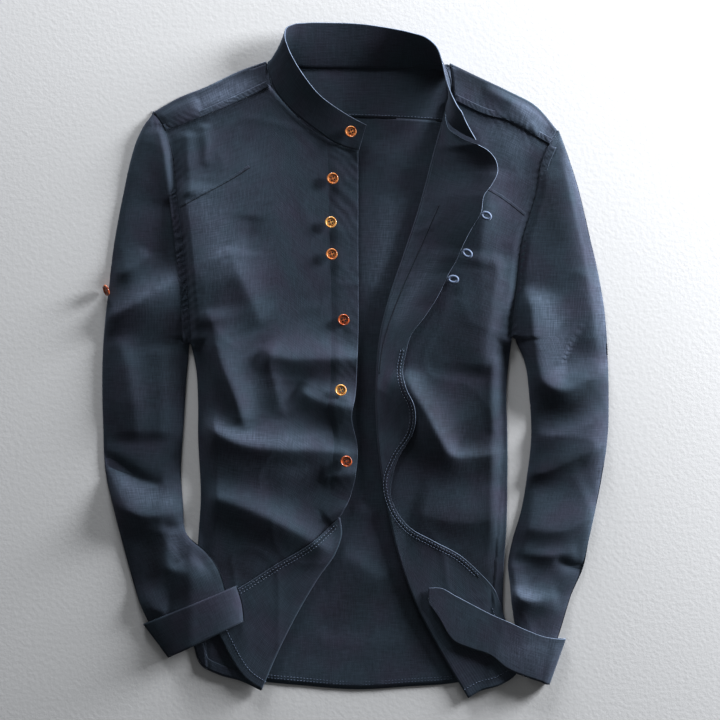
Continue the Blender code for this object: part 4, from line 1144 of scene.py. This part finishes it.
@dataclass
class Body:
    """Back, fronts, placket and the turned-out edge."""

    room: Workroom
    left: FrontPanel = field(init=False)
    right: FrontPanel = field(init=False)

    def __post_init__(self) -> None:
        """Sets up both fronts' shapes."""
        self.left = FrontPanel(
            SIDE_LEFT,
            FOLDS_LEFT,
            ARMHOLE_LEFT,
            YOKE_SEAM_LEFT,
            (Pucker(ARMHOLE_LEFT), Pucker(YOKE_SEAM_LEFT), Pucker(DART_LEFT, 0.08)),
            11,
        )
        self.right = FrontPanel(
            SIDE_RIGHT,
            FOLDS_RIGHT,
            ARMHOLE_RIGHT,
            YOKE_SEAM_RIGHT,
            (Pucker(ARMHOLE_RIGHT), Pucker(YOKE_SEAM_RIGHT), Pucker(DART_RIGHT, 0.08)),
            23,
        )

    def flap_rise(self, plan: Array) -> Array:
        """How much the turned-out edge stands up over the front."""
        heights, rises = zip(*FLAP_RISE)
        upper = np.array(FLAP_EDGE[FLAP_UPPER_EDGE_START:])
        fold_x = x_on(FOLD_RIGHT, plan[..., 1])
        width = np.maximum(np.interp(plan[..., 1], upper[:, 1], upper[:, 0]) - fold_x, 20.0)
        across = np.clip((plan[..., 0] - fold_x) / width, 0, 1.1)
        return np.interp(plan[..., 1], heights, rises) * across**1.2

    def flap_height(self, plan: Array) -> Array:
        """Middle of the turned-out layer."""
        base = FrontPanel.height(self.right, plan)
        return base + 2 * TURN_RADIUS + self.flap_rise(plan)

    def corner_height(self, plan: Array) -> Array:
        """Middle of the left front's turned-out corner."""
        return self.left.height(plan) + 2 * TURN_RADIUS

    def build(self) -> None:
        """Makes the pieces of the body."""
        self.build_back()
        self.build_left()
        self.build_right()

    def build_back(self) -> None:
        """Makes the back, flat on the floor, seen inside through the open front."""
        arm_left = ARMHOLE_LEFT[:-2] + YOKE_SEAM_BACK[:1]
        arm_right = ARMHOLE_RIGHT[:-2] + YOKE_SEAM_BACK[-1:]
        side_rows, arm_rows = cells(SIDE_LEFT, 3), cells(ARMHOLE_LEFT, 3)
        left = chained((SIDE_LEFT, side_rows), (arm_left, arm_rows))
        right = chained((SIDE_RIGHT, side_rows), (arm_right, arm_rows))
        columns = cells(HEM_BACK, 3)
        bottom, top = spline(HEM_BACK, columns + 1), spline(YOKE_SEAM_BACK, columns + 1)
        left[0], right[0], left[-1], right[-1] = bottom[0], bottom[-1], top[0], top[-1]
        plan = coons(bottom, top, left, right)
        inside = smooth((150 - np.abs(plan[..., 0])) / 40)
        lift = (relief(plan, FOLDS_BACK) + 0.5 * (crumple(plan, 37) + 0.3)) * inside
        sheet = raised(plan, FLOOR_Z - 0.2 + np.maximum(lift, 0.0))
        piece = self.room.cloth("back_cloth", [Sheet(sheet)], slot="linen_inside")
        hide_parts("back")
        for inset in HEM_STITCHES:
            self.room.stitch(raised(moved_sideways(spline(HEM_BACK, 120), inset), FLOOR_Z + 0.5))
        self.room.stitch(raised(moved_sideways(spline(YOKE_SEAM_BACK, 120), YOKE_STITCH), FLOOR_Z + 0.7))

    def build_left(self) -> None:
        """Makes the left front with its turned-out corner, and the placket on its edge."""
        corner_rows, edge_rows = cells(CORNER_FOLD_LEFT), cells(EDGE_LEFT)
        fold = spline(CORNER_FOLD_LEFT, corner_rows + 1)
        towards = inward(fold, 1)
        arm_rows = cells(ARMHOLE_LEFT)
        side_rows = corner_rows + edge_rows - arm_rows
        left = chained((SIDE_LEFT, side_rows), (ARMHOLE_LEFT[:-1], arm_rows))
        left[side_rows:] = moved_sideways(left[side_rows:], TUCK)
        right = np.concatenate([fold + TURN_RADIUS * towards, spline(EDGE_LEFT, edge_rows + 1)[1:]])
        columns = 80
        bottom = spline(HEM_LEFT, columns + 1)
        top = chained((YOKE_SEAM_LEFT, 44), (NECK_LEFT, columns - 44)) + (0, TUCK)
        left[0], left[-1], right[-1], bottom[-1] = bottom[0], top[0], top[-1], right[0]
        body = coons(bottom, top, left, right)
        body_z = self.left.height(body)
        flap_side = fold + TURN_RADIUS * towards
        flap_columns = 34
        flap_edge = spline(CORNER_EDGE_LEFT, corner_rows + 1)
        flap_bottom = spline(CORNER_HEM_LEFT, flap_columns + 1)
        flap_top = spline((flap_side[-1], flap_edge[-1]), flap_columns + 1)
        flap_bottom[0] = flap_side[0]
        flap = coons(flap_bottom, flap_top, flap_side, flap_edge)
        wall = raised(body, body_z)
        piece = self.room.cloth(
            "front_left_cloth",
            [
                Sheet(wall),
                Sheet(turned(fold, towards, self.left.height)),
                Sheet(raised(flap, self.corner_height(flap)), (Edge.LAST_COLUMN,)),
                *Felled(side=1, width=8.5, lift=0.1, ripple=0.16, ditch=-0.3).sheets(
                    ARMHOLE_LEFT[:-1], self.left.height
                ),
                *Felled(side=1, width=HEM_WIDTH, ripple=0.12, period=9, ditch=0.0).sheets(HEM_LEFT, self.left.height),
                *Felled(side=1, width=2.4, lift=0.12, ripple=0.0, ditch=-0.7, ditch_width=1.2).sheets(
                    DART_LEFT, self.left.height
                ),
                *self.edge_channel(CORNER_EDGE_LEFT, -1, self.corner_height, ARMPIT_Y),
            ],
        )
        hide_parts("front_left")
        self.build_placket(wall[corner_rows + 2 :])
        self.sew_corner(CORNER_EDGE_LEFT, CORNER_HEM_LEFT, self.corner_height)
        for inset in HEM_STITCHES:
            line = moved_sideways(spline(HEM_LEFT, 60), inset)
            self.room.stitch(raised(line, self.left.height(line) + 0.4))

    def facing_line(self) -> Sheet:
        """The seam that holds down the facing's inner edge, drawn into the turned-out edge as a dark strip of painted
        shade.
        """
        line = spline(FACING_SEAM, 90)
        plan = beside(line, -0.6, 0.6, 3)
        return Sheet(raised(plan, self.flap_height(plan) + 0.08), tone=-0.5)

    def edge_channel(self, edge: Sequence[Point], side: float, height: Height, highest: float) -> list[Sheet]:
        """Painted shade: a dark strip in the channel between the two rows of stitches along a front edge.

        Args:
            edge: The front edge.
            side: 1 where the cloth is on its left, -1 where it is on its right.
            height: Height of the cloth.
            highest: y where the channel is lost in the cloth.

        Returns:
            One narrow dark sheet of painted shade.
        """
        line = spline(edge, cells(edge, 2.0) + 1)
        line = line[(line[:, 1] < highest) & (line[:, 1] > SUNK_STITCH_Y)]
        plan = beside(line, side * (EDGE_STITCH + 0.9), side * (EDGE_STITCH_IN - 0.9), 3)
        return [Sheet(raised(plan, height(plan) + 0.08), tone=-0.35)]

    def build_placket(self, wall: Array) -> None:
        """Makes the buttoned band from the front's own points along its edge, moved out."""
        width = np.linalg.norm(np.diff(wall, axis=1), axis=-1).mean()
        strip = wall[:, -round(34 / width) :]
        across = np.linspace(0, 1, strip.shape[1])[None, :]
        along = np.linspace(0, 1, len(strip))[:, None]
        lift = -0.35 + (PLACKET_LIFT + 0.38) * smooth(across / 0.4) * smooth(along / 0.12)
        waves = Pucker(((-6, -160), (-6, 60), (-6, 230)), 0.7, 15, 20, -1.1).height(strip[..., :2])
        waves = waves * (0.25 + 0.75 * smooth((strip[..., 1] - 120) / 60))
        shape = moved_out(strip, lift)
        shape[..., 2] += waves * smooth(across / 0.2)
        piece = self.room.cloth("placket_cloth", [Sheet(shape, (Edge.LAST_COLUMN,), rub_and_highlight=0.4)])
        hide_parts("placket_left")

    def sew_corner(self, edge: Sequence[Point], hem: Sequence[Point], height: Height) -> None:
        """Double topstitching along a turned-out corner's front edge and hem.

        Args:
            edge: The front edge.
            hem: The hem.
            height: Height of the layer it is sewn on.
        """
        for inset in (EDGE_STITCH, EDGE_STITCH_IN):
            line = moved_sideways(spline(edge, 90), -inset if edge[0][0] < 0 else inset)
            self.room.stitch(raised(line, height(line) + SEWN_LIFT))
        line = moved_sideways(spline(hem, 60), HEM_WIDTH if hem[0][0] > 0 else -HEM_WIDTH)
        self.room.stitch(raised(line, height(line) + SEWN_LIFT))

    def build_right(self) -> None:
        """Makes the right front with its turned-out edge and corner."""
        rows = cells(FOLD_RIGHT)
        fold = spline(FOLD_RIGHT, rows + 1)
        towards = inward(fold, -1)
        arm_rows = cells(ARMHOLE_RIGHT)
        right = chained((SIDE_RIGHT, rows - arm_rows), (ARMHOLE_RIGHT[:-1], arm_rows))
        right[rows - arm_rows :] = moved_sideways(right[rows - arm_rows :], -TUCK)
        left = fold + TURN_RADIUS * towards
        columns = 62
        bottom = spline(HEM_RIGHT, columns + 1)
        top = chained((NECK_RIGHT, 8), (YOKE_SEAM_RIGHT, columns - 8)) + (0, TUCK)
        bottom[0], right[0], top[0], right[-1] = left[0], bottom[-1], left[-1], top[-1]
        body = coons(bottom, top, left, right)
        edge = spline(FLAP_EDGE, rows + 1)
        flap_columns = 28
        flap_bottom, flap_top = spline(FLAP_HEM, flap_columns + 1), spline(FLAP_NECK, flap_columns + 1)
        flap_bottom[0], flap_top[0], flap_top[-1] = left[0], left[-1], edge[-1]
        flap = strip_between(flap_bottom, flap_top, left, edge)
        piece = self.room.cloth(
            "front_right_cloth",
            [
                Sheet(raised(body, self.right.height(body))),
                Sheet(turned(fold, towards, self.right.height)),
                Sheet(raised(flap, self.flap_height(flap)), (Edge.LAST_COLUMN,)),
                *Felled(side=-1, width=8.5, lift=0.1, ripple=0.16, ditch=-0.15).sheets(
                    ARMHOLE_RIGHT[:-1], self.right.height, 9
                ),
                *Felled(side=1, width=2.4, lift=0.12, ripple=0.0, ditch=-0.4, ditch_width=1.0).sheets(
                    DART_RIGHT, self.right.height
                ),
                *self.edge_channel(FLAP_EDGE, 1, self.flap_height, SHOWN_STITCH_Y),
                self.facing_line(),
            ],
        )
        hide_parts("front_right")
        for inset in (EDGE_STITCH, EDGE_STITCH_IN):
            line = moved_sideways(spline(FLAP_EDGE, 300), inset)
            line = line[(line[:, 1] < SHOWN_STITCH_Y) & (line[:, 1] > SUNK_STITCH_Y)]
            self.room.stitch(raised(line, self.flap_height(line) + SEWN_LIFT))
        line = moved_sideways(spline(FLAP_HEM, 90), HEM_WIDTH)
        self.room.stitch(raised(line, self.flap_height(line) + SEWN_LIFT))


@dataclass
class Yoke:
    """Yoke, turned over both shoulders, with its puckered flat-felled front seams."""

    room: Workroom
    deep_cells: int = 22
    fold_radius: float = 0.8  # the shoulder is pressed flatter than the seam below it

    swells: tuple[Fold, ...] = (
        Fold(((-214, 262, 26, 12, 2), (-196, 272, 30, 14, 4), (-170, 283, 30, 14, 2))),
        Fold(((206, 246, 12, 26, 2), (180, 276, 14, 34, 4), (158, 294, 14, 36, 4), (140, 304, 12, 30, 2))),
    )

    def build(self) -> None:
        """Makes the yoke."""
        shoulder_cells, neck_cells = 60, 80
        left_line, right_line = spline(SHOULDER_LEFT, shoulder_cells + 1), spline(SHOULDER_RIGHT, shoulder_cells + 1)
        left_in, right_in = inward(left_line, -1), inward(right_line, -1)
        neck = spline(NECK_BACK, neck_cells + 1) + (0, 2.6)
        top = np.concatenate(
            [left_line + SHOULDER_RADIUS * left_in, neck[1:-1], right_line + SHOULDER_RADIUS * right_in]
        )
        bottom = spline(YOKE_SEAM_BACK, len(top)) - (0, 1.0)
        left = spline((bottom[0], top[0]), self.deep_cells + 1)
        right = spline((bottom[-1], top[-1]), self.deep_cells + 1)
        plan = coons(bottom, top, left, right)
        sheets = [Sheet(raised(plan, FLOOR_Z + 0.1 + 0.25 * crumple(plan, 51).clip(0))), self.neck_riser(neck)]
        for line, towards, seam, neck_edge, armhole, arm_first in (
            (left_line, left_in, YOKE_SEAM_LEFT, YOKE_NECK_LEFT, ARMHOLE_LEFT, True),
            (right_line, right_in, YOKE_SEAM_RIGHT, YOKE_NECK_RIGHT, ARMHOLE_RIGHT, False),
        ):
            sheets += self.front_part(line, towards, seam, neck_edge, armhole, arm_first)
        piece = self.room.cloth("yoke_cloth", sheets)
        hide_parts("yoke")

    def neck_riser(self, neck: Array) -> Sheet:
        """The strip that climbs from the yoke's neck edge into the collar's seam.

        Args:
            neck: Points along the yoke's neck edge.

        Returns:
            The strip.
        """
        roots = spline(COLLAR_SECTIONS, 400)[:, :3]
        roots = roots[(roots[:, 1] > 300) & (np.abs(roots[:, 0]) < 105)]
        at = np.linspace(0, len(roots) - 1, len(neck))
        high = np.stack([np.interp(at, np.arange(len(roots)), column) for column in roots.T], axis=1)
        out = inward(high[:, :2], 1)
        top = high + np.concatenate([out * 1.6, np.full((len(high), 1), 0.9)], axis=1)
        low = raised(neck - (0, 3.0), FLOOR_Z + 0.5)
        share = np.linspace(0, 1, 9)[:, None, None]
        strip = low[None] * (1 - share) + top[None] * share
        strip[..., 2] -= 1.2 * np.sin(math.pi * share[..., 0])
        return Sheet(strip)

    def front_part(
        self,
        line: Array,
        towards: Array,
        seam: Sequence[Point],
        neck_edge: Sequence[Point],
        armhole: Sequence[Point],
        arm_first: bool,
    ) -> list[Sheet]:
        """Makes the part of the yoke in front of one shoulder.

        Args:
            line: The shoulder line.
            towards: Unit directions from it to the cloth.
            seam: The front seam.
            neck_edge: The edge at the neck, from the shoulder down.
            armhole: The armhole line.
            arm_first: Whether the shoulder line starts at the arm.

        Returns:
            The turned shoulder and the front part.
        """
        base = line + SHOULDER_RADIUS * towards
        arc = []
        rest = SHOULDER_RADIUS - self.fold_radius
        for angle in np.linspace(-math.pi / 2, math.pi / 2, 9):
            reach = self.fold_radius * math.cos(angle) + rest * (1 - abs(math.sin(angle)))
            plan = base - reach * towards
            arc.append(raised(plan, FLOOR_Z + self.fold_radius * (1 + math.sin(angle))))
        low = spline(seam, len(line))
        arm_end, neck_end = (0, -1) if arm_first else (-1, 0)
        rows = 16
        neck_side = spline(neck_edge, rows)
        neck_side[0], neck_side[-1] = base[neck_end], low[neck_end]
        arm_side = spline((base[arm_end], low[arm_end]), rows)
        arm_side[1:, 0] = x_on(armhole, arm_side[:, 1])[1:]
        low[arm_end] = arm_side[-1]
        sides = (arm_side, neck_side) if arm_first else (neck_side, arm_side)
        plan = coons(base, low, *sides)
        down = np.linspace(0, 1, rows)[:, None]
        ripple = Pucker(seam, 0.35, 8.0, 12.0, 0.9).height(plan)
        pressed = FLOOR_Z + 2 * self.fold_radius
        z = pressed + (SEAM_Z - pressed) * smooth(down * 0.62) / smooth(0.62)
        swell = relief(plan, self.swells) * smooth(down * 3) * smooth((1 - down) * 4 + 0.35)
        z = z + swell + (ripple + 0.4 * crumple(plan, 61)) * smooth(down * 2.5)
        felled = Felled(side=1, lift=0.25, ripple=0.32).sheets(
            seam, lambda spot: np.full(spot.shape[:-1], SEAM_Z + 0.1)
        )
        return [Sheet(np.stack(arc)), Sheet(raised(plan, z)), felled[0]]


@dataclass
class Collar:
    """Band collar: a stiffened strip that leans in on the left and stands up on the right."""

    room: Workroom
    thickness: float = 1.2

    def build(self) -> None:
        """Makes the band."""
        sections = spline(COLLAR_SECTIONS, 190)
        across = np.linspace(0, 1, 17)[None, :, None]
        band = sections[:, None, :3] * (1 - across) + sections[:, None, 3:] * across
        bulge = np.sin(np.linspace(0, math.pi, 17))[None, :, None] * 0.6
        normal = np.cross(np.gradient(band, axis=0), np.gradient(band, axis=1))
        normal /= np.linalg.norm(normal, axis=-1)[..., None]
        band = band + normal * bulge
        sheet = Sheet(band, (Edge.LAST_COLUMN, Edge.FIRST_ROW, Edge.LAST_ROW))
        piece = self.room.cloth("collar_cloth", [sheet], self.thickness)
        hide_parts("collar")


@dataclass
class Sleeve:
    """A sleeve lying flat beside the body, with its turned-up end inside the cuff."""

    room: Workroom
    name: str
    sections: tuple[Point, ...]
    armhole: tuple[Point, ...]
    folds: tuple[Fold, ...]
    cuff_y: float
    climbs: bool
    seed: int

    def ground(self, plan: Array) -> Array:
        """Height of what the sleeve lies on: the floor, or the body's corner."""
        if not self.climbs:
            return np.zeros(plan.shape[:-1])
        start, end = LEFT_CLIMB
        over = smooth((plan[..., 0] - start) / (end - start)) * smooth((-165 - plan[..., 1]) / 25)
        return LEFT_CLIMB_HEIGHT * over

    def build(self) -> None:
        """Makes the sleeve."""
        first = np.array(self.sections[0], dtype=float)
        tip = np.concatenate([first[:2] * (0.994, 1.014), first[2:] * (1.006, 1.02)])
        sections = spline((tuple(tip), *self.sections), cells([row[:2] for row in self.sections]))
        step = CUFF_STEP * smooth((self.cuff_y + 45 - sections[:, 1]) / 25)
        sheets = flat_tube(sections, self.ground, step, SLEEVE_HEIGHT, self.folds, self.seed, self.armhole)
        piece = self.room.cloth(f"{self.name}_cloth", sheets)
        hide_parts(self.name)


def flat_tube(
    sections: Array,
    ground: Height,
    step: Array | float,
    height: float,
    folds: Sequence[Fold],
    seed: int,
    armhole: Sequence[Point] | None = None,
) -> list[Sheet]:
    """A tube of cloth that lies flat, open at both ends.

    Args:
        sections: Rows of outer edge x, y and inner edge x, y.
        ground: Height of what it lies on.
        step: How far above that its lower layer lies, for each row.
        height: Distance between the middles of its two layers.
        folds: Creases of its upper layer.
        seed: Seed of its fine creases.
        armhole: Seam line where rows above the armpit end, for a sleeve.

    Returns:
        The tube's sheets.
    """
    outer, inner = sections[:, :2], sections[:, 2:].copy()
    open_row = np.zeros(len(sections), dtype=bool)
    if armhole is not None:
        open_row = inner[:, 1] > ARMPIT_Y
        inner[open_row, 0] = x_on(armhole, inner[:, 1])[open_row]
    width = np.linalg.norm(inner - outer, axis=1)
    bulge = np.minimum(width / 16, 1)

    def points(u: float, upper: bool) -> Array:
        """Points at the share u of each row's width, on the upper or the lower layer."""
        share = np.where(open_row & (u > 0.955), 1.0, np.where(open_row, u / 0.955 * 0.99, u))
        share = np.clip(share, 0, 1)
        plan = outer + (inner - outer) * share[:, None]
        floor = ground(plan) + FLOOR_Z + step
        if not upper:
            return raised(plan, floor)
        from_edge = np.where(open_row, share, np.minimum(share, 1 - share))
        swell = np.sqrt(np.clip(1 - (1 - np.clip(2 * from_edge, 0, 1)) ** 4, 0, 1)) * bulge
        at_seam = np.where(open_row, smooth((1 - share) * width / 9), 1.0)
        fine = crumple(plan, seed)
        if armhole is not None:
            fine = fine + Pucker(tuple(armhole), 0.6, 8.0, 8.0, 0.8).height(plan)
        return raised(plan, floor + height * swell + (FOLD_LIFT * relief(plan, folds) + fine) * swell * at_seam)

    def edge_points(u: int) -> Array:
        """Points on the outer (0) or inner (1) rounded edge."""
        plan = outer if u == 0 else inner
        return raised(plan, ground(plan) + FLOOR_Z + step + 0.35 * height * bulge)

    spread = np.linspace(0, 1, 42)
    upper_shares = 0.5 + 0.5 * np.sin((spread - 0.5) * math.pi) * 0.97 + (spread - 0.5) * 0.02
    columns = [points(u, True) for u in upper_shares[::-1]] + [edge_points(0)]
    columns += [points(u, False) for u in (0.012, 0.06, 0.2, 0.4, 0.6, 0.8, 0.94, 0.975)]
    main = np.stack(columns, axis=1)
    turn = np.stack([columns[-1], edge_points(1), columns[0]], axis=1)
    return [Sheet(main), Sheet(turn[~open_row])]


@dataclass
class Cuffs:
    """Both turned-up cuffs: the left one round its sleeve, the right one opened out."""

    room: Workroom
    thickness: float = 1.4

    def build(self, left_sleeve: Sleeve) -> None:
        """Makes the cuffs.

        Args:
            left_sleeve: The sleeve inside the left cuff.
        """
        sections = spline(CUFF_LEFT_SECTIONS, 20)
        sheets = flat_tube(sections, left_sleeve.ground, 0.0, SLEEVE_HEIGHT + 2 * CUFF_STEP, (), 71)
        piece = self.room.cloth("cuff_left_cloth", sheets, self.thickness)
        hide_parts("cuff_left")
        sections = spline(CUFF_RIGHT_SECTIONS, 130)
        sections[:, 4] = np.maximum(sections[:, 4], FLOOR_Z)
        across = np.linspace(0, 1, 20)[None, :, None]
        plan = sections[:, None, :2] * (1 - across) + sections[:, None, 2:4] * across
        z = sections[:, None, 4] + 0.35 * crumple(plan, 83).clip(0)
        band = raised(plan, z)
        piece = self.room.cloth("cuff_right_cloth", [Sheet(band, (Edge.FIRST_COLUMN,))], self.thickness)
        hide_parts("cuff_right")


@dataclass
class Buttons:
    """Four-hole buttons with a raised rim, with a peg of thread in each hole."""

    room: Workroom
    radius: float = 6.35
    hole_radius: float = 0.95
    hole_offset: float = 1.5
    segments: int = 56

    def mesh(self) -> bpy.types.Mesh:
        """Makes the turned and drilled button."""
        inner = self.radius - 1.9
        profile = (
            (0.01, 1.9), (inner - 1.4, 1.85), (inner - 0.3, 1.45), (inner, 1.5), (inner + 0.4, 2.2),
            (self.radius - 1.0, 2.7), (self.radius - 0.5, 2.65), (self.radius, 2.1), (self.radius, 1.5),
            (self.radius - 0.8, 0.5), (self.radius - 2.2, 0.1), (0.01, 0.0),
        )
        shape = bmesh.new()
        corners = [shape.verts.new((x * MM, 0.0, z * MM)) for x, z in profile]
        edges = [shape.edges.new(pair) for pair in zip(corners, corners[1:])]
        bmesh.ops.spin(
            shape, geom=corners + edges, cent=(0, 0, 0), axis=(0, 0, 1), angle=2 * math.pi,
            steps=self.segments, use_merge=True,
        )
        bmesh.ops.remove_doubles(shape, verts=shape.verts, dist=0.02 * MM)
        bmesh.ops.recalc_face_normals(shape, faces=shape.faces)
        mesh = bpy.data.meshes.new("button_turned")
        shape.to_mesh(mesh)
        shape.free()
        blank = bpy.data.objects.new("button_blank", mesh)
        bpy.context.scene.collection.objects.link(blank)
        for x in (-1, 1):
            for y in (-1, 1):
                bpy.ops.mesh.primitive_cylinder_add(
                    vertices=16, radius=self.hole_radius * MM, depth=8 * MM,
                    location=(x * self.hole_offset * MM, y * self.hole_offset * MM, MM),
                )
                drill = bpy.context.object
                cut = blank.modifiers.new("hole", "BOOLEAN")
                cut.object = drill
                cut.operation = "DIFFERENCE"
                drill.hide_render = True
        graph = bpy.context.evaluated_depsgraph_get()
        drilled = bpy.data.meshes.new_from_object(blank.evaluated_get(graph))
        for item in [blank] + [cut.object for cut in blank.modifiers]:
            bpy.data.objects.remove(item, do_unlink=True)
        drilled.name = "four_hole_button"
        drilled.shade_smooth()
        drilled.set_sharp_from_angle(angle=math.radians(45))
        return drilled

    def thread_mesh(self) -> bpy.types.Mesh:
        """Makes the thread that passes through the holes: a short peg in each hole."""
        shape = bmesh.new()
        for x in (-1, 1):
            for y in (-1, 1):
                made = bmesh.ops.create_cone(
                    shape, cap_ends=True, segments=8, radius1=0.6 * MM, radius2=0.5 * MM, depth=1.4 * MM
                )
                bmesh.ops.translate(
                    shape, verts=made["verts"], vec=(x * self.hole_offset * MM, y * self.hole_offset * MM, 0.3 * MM)
                )
        mesh = bpy.data.meshes.new("button_thread")
        shape.to_mesh(mesh)
        shape.free()
        return mesh

    def build(self) -> None:
        """Puts a finished button where each plain one is."""
        button, thread = self.mesh(), self.thread_mesh()
        names = [name for name, _, _ in BUTTONS_ON_PLACKET] + ["button_collar", "button_sleeve"]
        for name in names:
            low, high = (np.array(corner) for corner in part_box(name))
            middle = (low + high) / 2
            tilt = math.radians(-62) if name == "button_sleeve" else 0.0
            horn = self.room.horns[HORN_OF_BUTTON.get(name, 0)]
            piece = self.room.keep(f"{name}_turned", button.copy(), horn, "horn")
            sewn = self.room.keep(f"{name}_thread", thread.copy(), self.room.dark_thread, "linen")
            for part in (piece, sewn):
                part.rotation_euler = (0.0, tilt, 0.35)
                lift = np.array((math.sin(tilt), 0.0, math.cos(tilt))) * 1.4 * MM
                part.location = middle - lift
            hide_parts(name)


@dataclass
class Loops:
    """Loops of bound thread on the turned-out edge."""

    room: Workroom
    centre: float = 7.0  # from the edge to the middle of the loop
    half_length: float = 4.9
    half_width: float = 3.3
    radius: float = 1.6

    def build(self, height: Height) -> None:
        """Makes each loop as a tube bound with thread.

        Args:
            height: Height of the cloth that the loops are sewn to.
        """
        for name, x, y, degrees in LOOPS:
            angle = math.radians(degrees)
            out = np.array([math.cos(angle), math.sin(angle)])
            side = np.array([-out[1], out[0]])
            z = float(height(np.array([[x - 2.0, y]]))[0])
            rings = []
            turns = np.linspace(math.pi, -0.96 * math.pi, 56)
            for index, turn in enumerate(turns):
                middle = np.array([x, y]) + out * (self.centre + self.half_length * math.cos(turn))
                middle = middle + side * self.half_width * math.sin(turn)
                flat = out * self.half_width * math.cos(turn) + side * self.half_length * math.sin(turn)
                flat /= np.linalg.norm(flat)
                radius = self.radius * (0.92 + 0.12 * (index % 2))
                ring = [
                    np.array([*(middle + flat * radius * math.cos(a)), z + radius * math.sin(a)])
                    for a in np.linspace(0, 2 * math.pi, 13)
                ]
                rings.append(ring)
            mesh = loft(f"{name}_bound", np.array(rings))
            piece = self.room.keep(f"{name}_bound", mesh, self.room.thread, "loop_cord")
            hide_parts(name)


def loft(name: str, rings: Array) -> bpy.types.Mesh:
    """A closed tube through rings of points.

    Args:
        name: The mesh's name.
        rings: Rings whose last point repeats the first.

    Returns:
        The mesh, with both ends capped.
    """
    shape = bmesh.new()
    rows = [[shape.verts.new(point * MM) for point in ring[:-1]] for ring in rings]
    count = len(rows[0])
    for low, high in zip(rows, rows[1:]):
        for i in range(count):
            shape.faces.new((low[i], low[(i + 1) % count], high[(i + 1) % count], high[i]))
    shape.faces.new(rows[0][::-1])
    shape.faces.new(rows[-1])
    bmesh.ops.recalc_face_normals(shape, faces=shape.faces)
    mesh = bpy.data.meshes.new(name)
    shape.to_mesh(mesh)
    shape.free()
    return mesh


@dataclass
class Studio:
    """Floor, lights and the camera straight above the shirt."""

    view_width: float = 0.792  # what 720 pixels show at the cloth
    camera_height: float = 3.2
    centre: tuple[float, float] = (0.005, 0.001)
    room_light: float = 0.2  # strength of the light that comes from all round
    room_colour: str = "e6eaf0"
    lamp_side: float = 0.75
    lamp_colour: str = "f3f7ff"
    lamps: tuple[tuple[str, Point, float], ...] = (  # name, place in metres, watts
        ("key", (1.84, 0.96, 0.41), 154.0),
        ("window", (-0.40, 2.03, 0.46), 60.0),
    )

    def build(self) -> None:
        """Sets up the floor, the lights and the camera."""
        bpy.ops.mesh.primitive_plane_add(size=8.0, location=(0, 0, 0))
        floor = bpy.context.object
        floor.name = "floor"
        floor.data.materials.append(PaleFloor().build())
        lens = bpy.data.cameras.new("camera")
        lens.sensor_width = 36.0
        lens.lens = 36.0 * self.camera_height / self.view_width
        lens.clip_end = 20.0
        camera = bpy.data.objects.new("camera", lens)
        camera.location = (*self.centre, self.camera_height)
        bpy.context.scene.collection.objects.link(camera)
        bpy.context.scene.camera = camera
        for name, place, power in self.lamps:
            self.light(name, place, self.lamp_side, power, self.lamp_colour)
        world = bpy.data.worlds.new("room")
        world.use_nodes = True
        background = world.node_tree.nodes["Background"]
        background.inputs["Color"].default_value = linear(self.room_colour)
        background.inputs["Strength"].default_value = self.room_light
        bpy.context.scene.world = world
        bpy.context.scene.view_settings.view_transform = "Standard"
        bpy.context.scene.view_settings.gamma = 0.8

    def light(self, name: str, place: Point, size: float, power: float, colour: str) -> None:
        """Adds a square area light that faces the shirt's middle.

        Args:
            name: The light's name.
            place: Where it hangs, in metres.
            size: Its side, in metres.
            power: Its power in watts.
            colour: Its sRGB hex colour.
        """
        lamp = bpy.data.lights.new(name, "AREA")
        lamp.shape = "SQUARE"
        lamp.size = size
        lamp.energy = power
        lamp.color = linear(colour)[:3]
        holder = bpy.data.objects.new(name, lamp)
        holder.location = place
        direction = -np.array(place) / np.linalg.norm(place)
        holder.rotation_euler = (
            math.acos(-direction[2]),
            0.0,
            math.atan2(direction[1], direction[0]) - math.pi / 2,
        )
        bpy.context.scene.collection.objects.link(holder)


def main() -> None:
    logging.basicConfig(level=logging.INFO, format="%(name)s %(message)s")
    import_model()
    horns = tuple(
        HornResin(name, light, dark).build()
        for name, light, dark in (
            ("amber_resin", "e8a062", "8c431c"),
            ("honey_resin", "f0c07a", "a86a2c"),
            ("chestnut_resin", "cf7446", "5e2414"),
        )
    )
    dark = SewingThread("dark_sewing_thread", "20252e", "171b22").build()
    room = Workroom(Linen().build(), SewingThread().build(), dark, horns)
    body = Body(room)
    body.build()
    Yoke(room).build()
    Collar(room).build()
    left = Sleeve(room, "sleeve_left", SLEEVE_LEFT_SECTIONS, ARMHOLE_LEFT, FOLDS_SLEEVE_LEFT, -289, True, 91)
    right = Sleeve(room, "sleeve_right", SLEEVE_RIGHT_SECTIONS, ARMHOLE_RIGHT, FOLDS_SLEEVE_RIGHT, -300, False, 97)
    left.build()
    right.build()
    Cuffs(room).build(left)
    Buttons(room).build()
    Loops(room).build(body.flap_height)
    room.sew()
    Studio().build()
    bpy.context.view_layer.update()


if __name__ == "__main__":
    main()
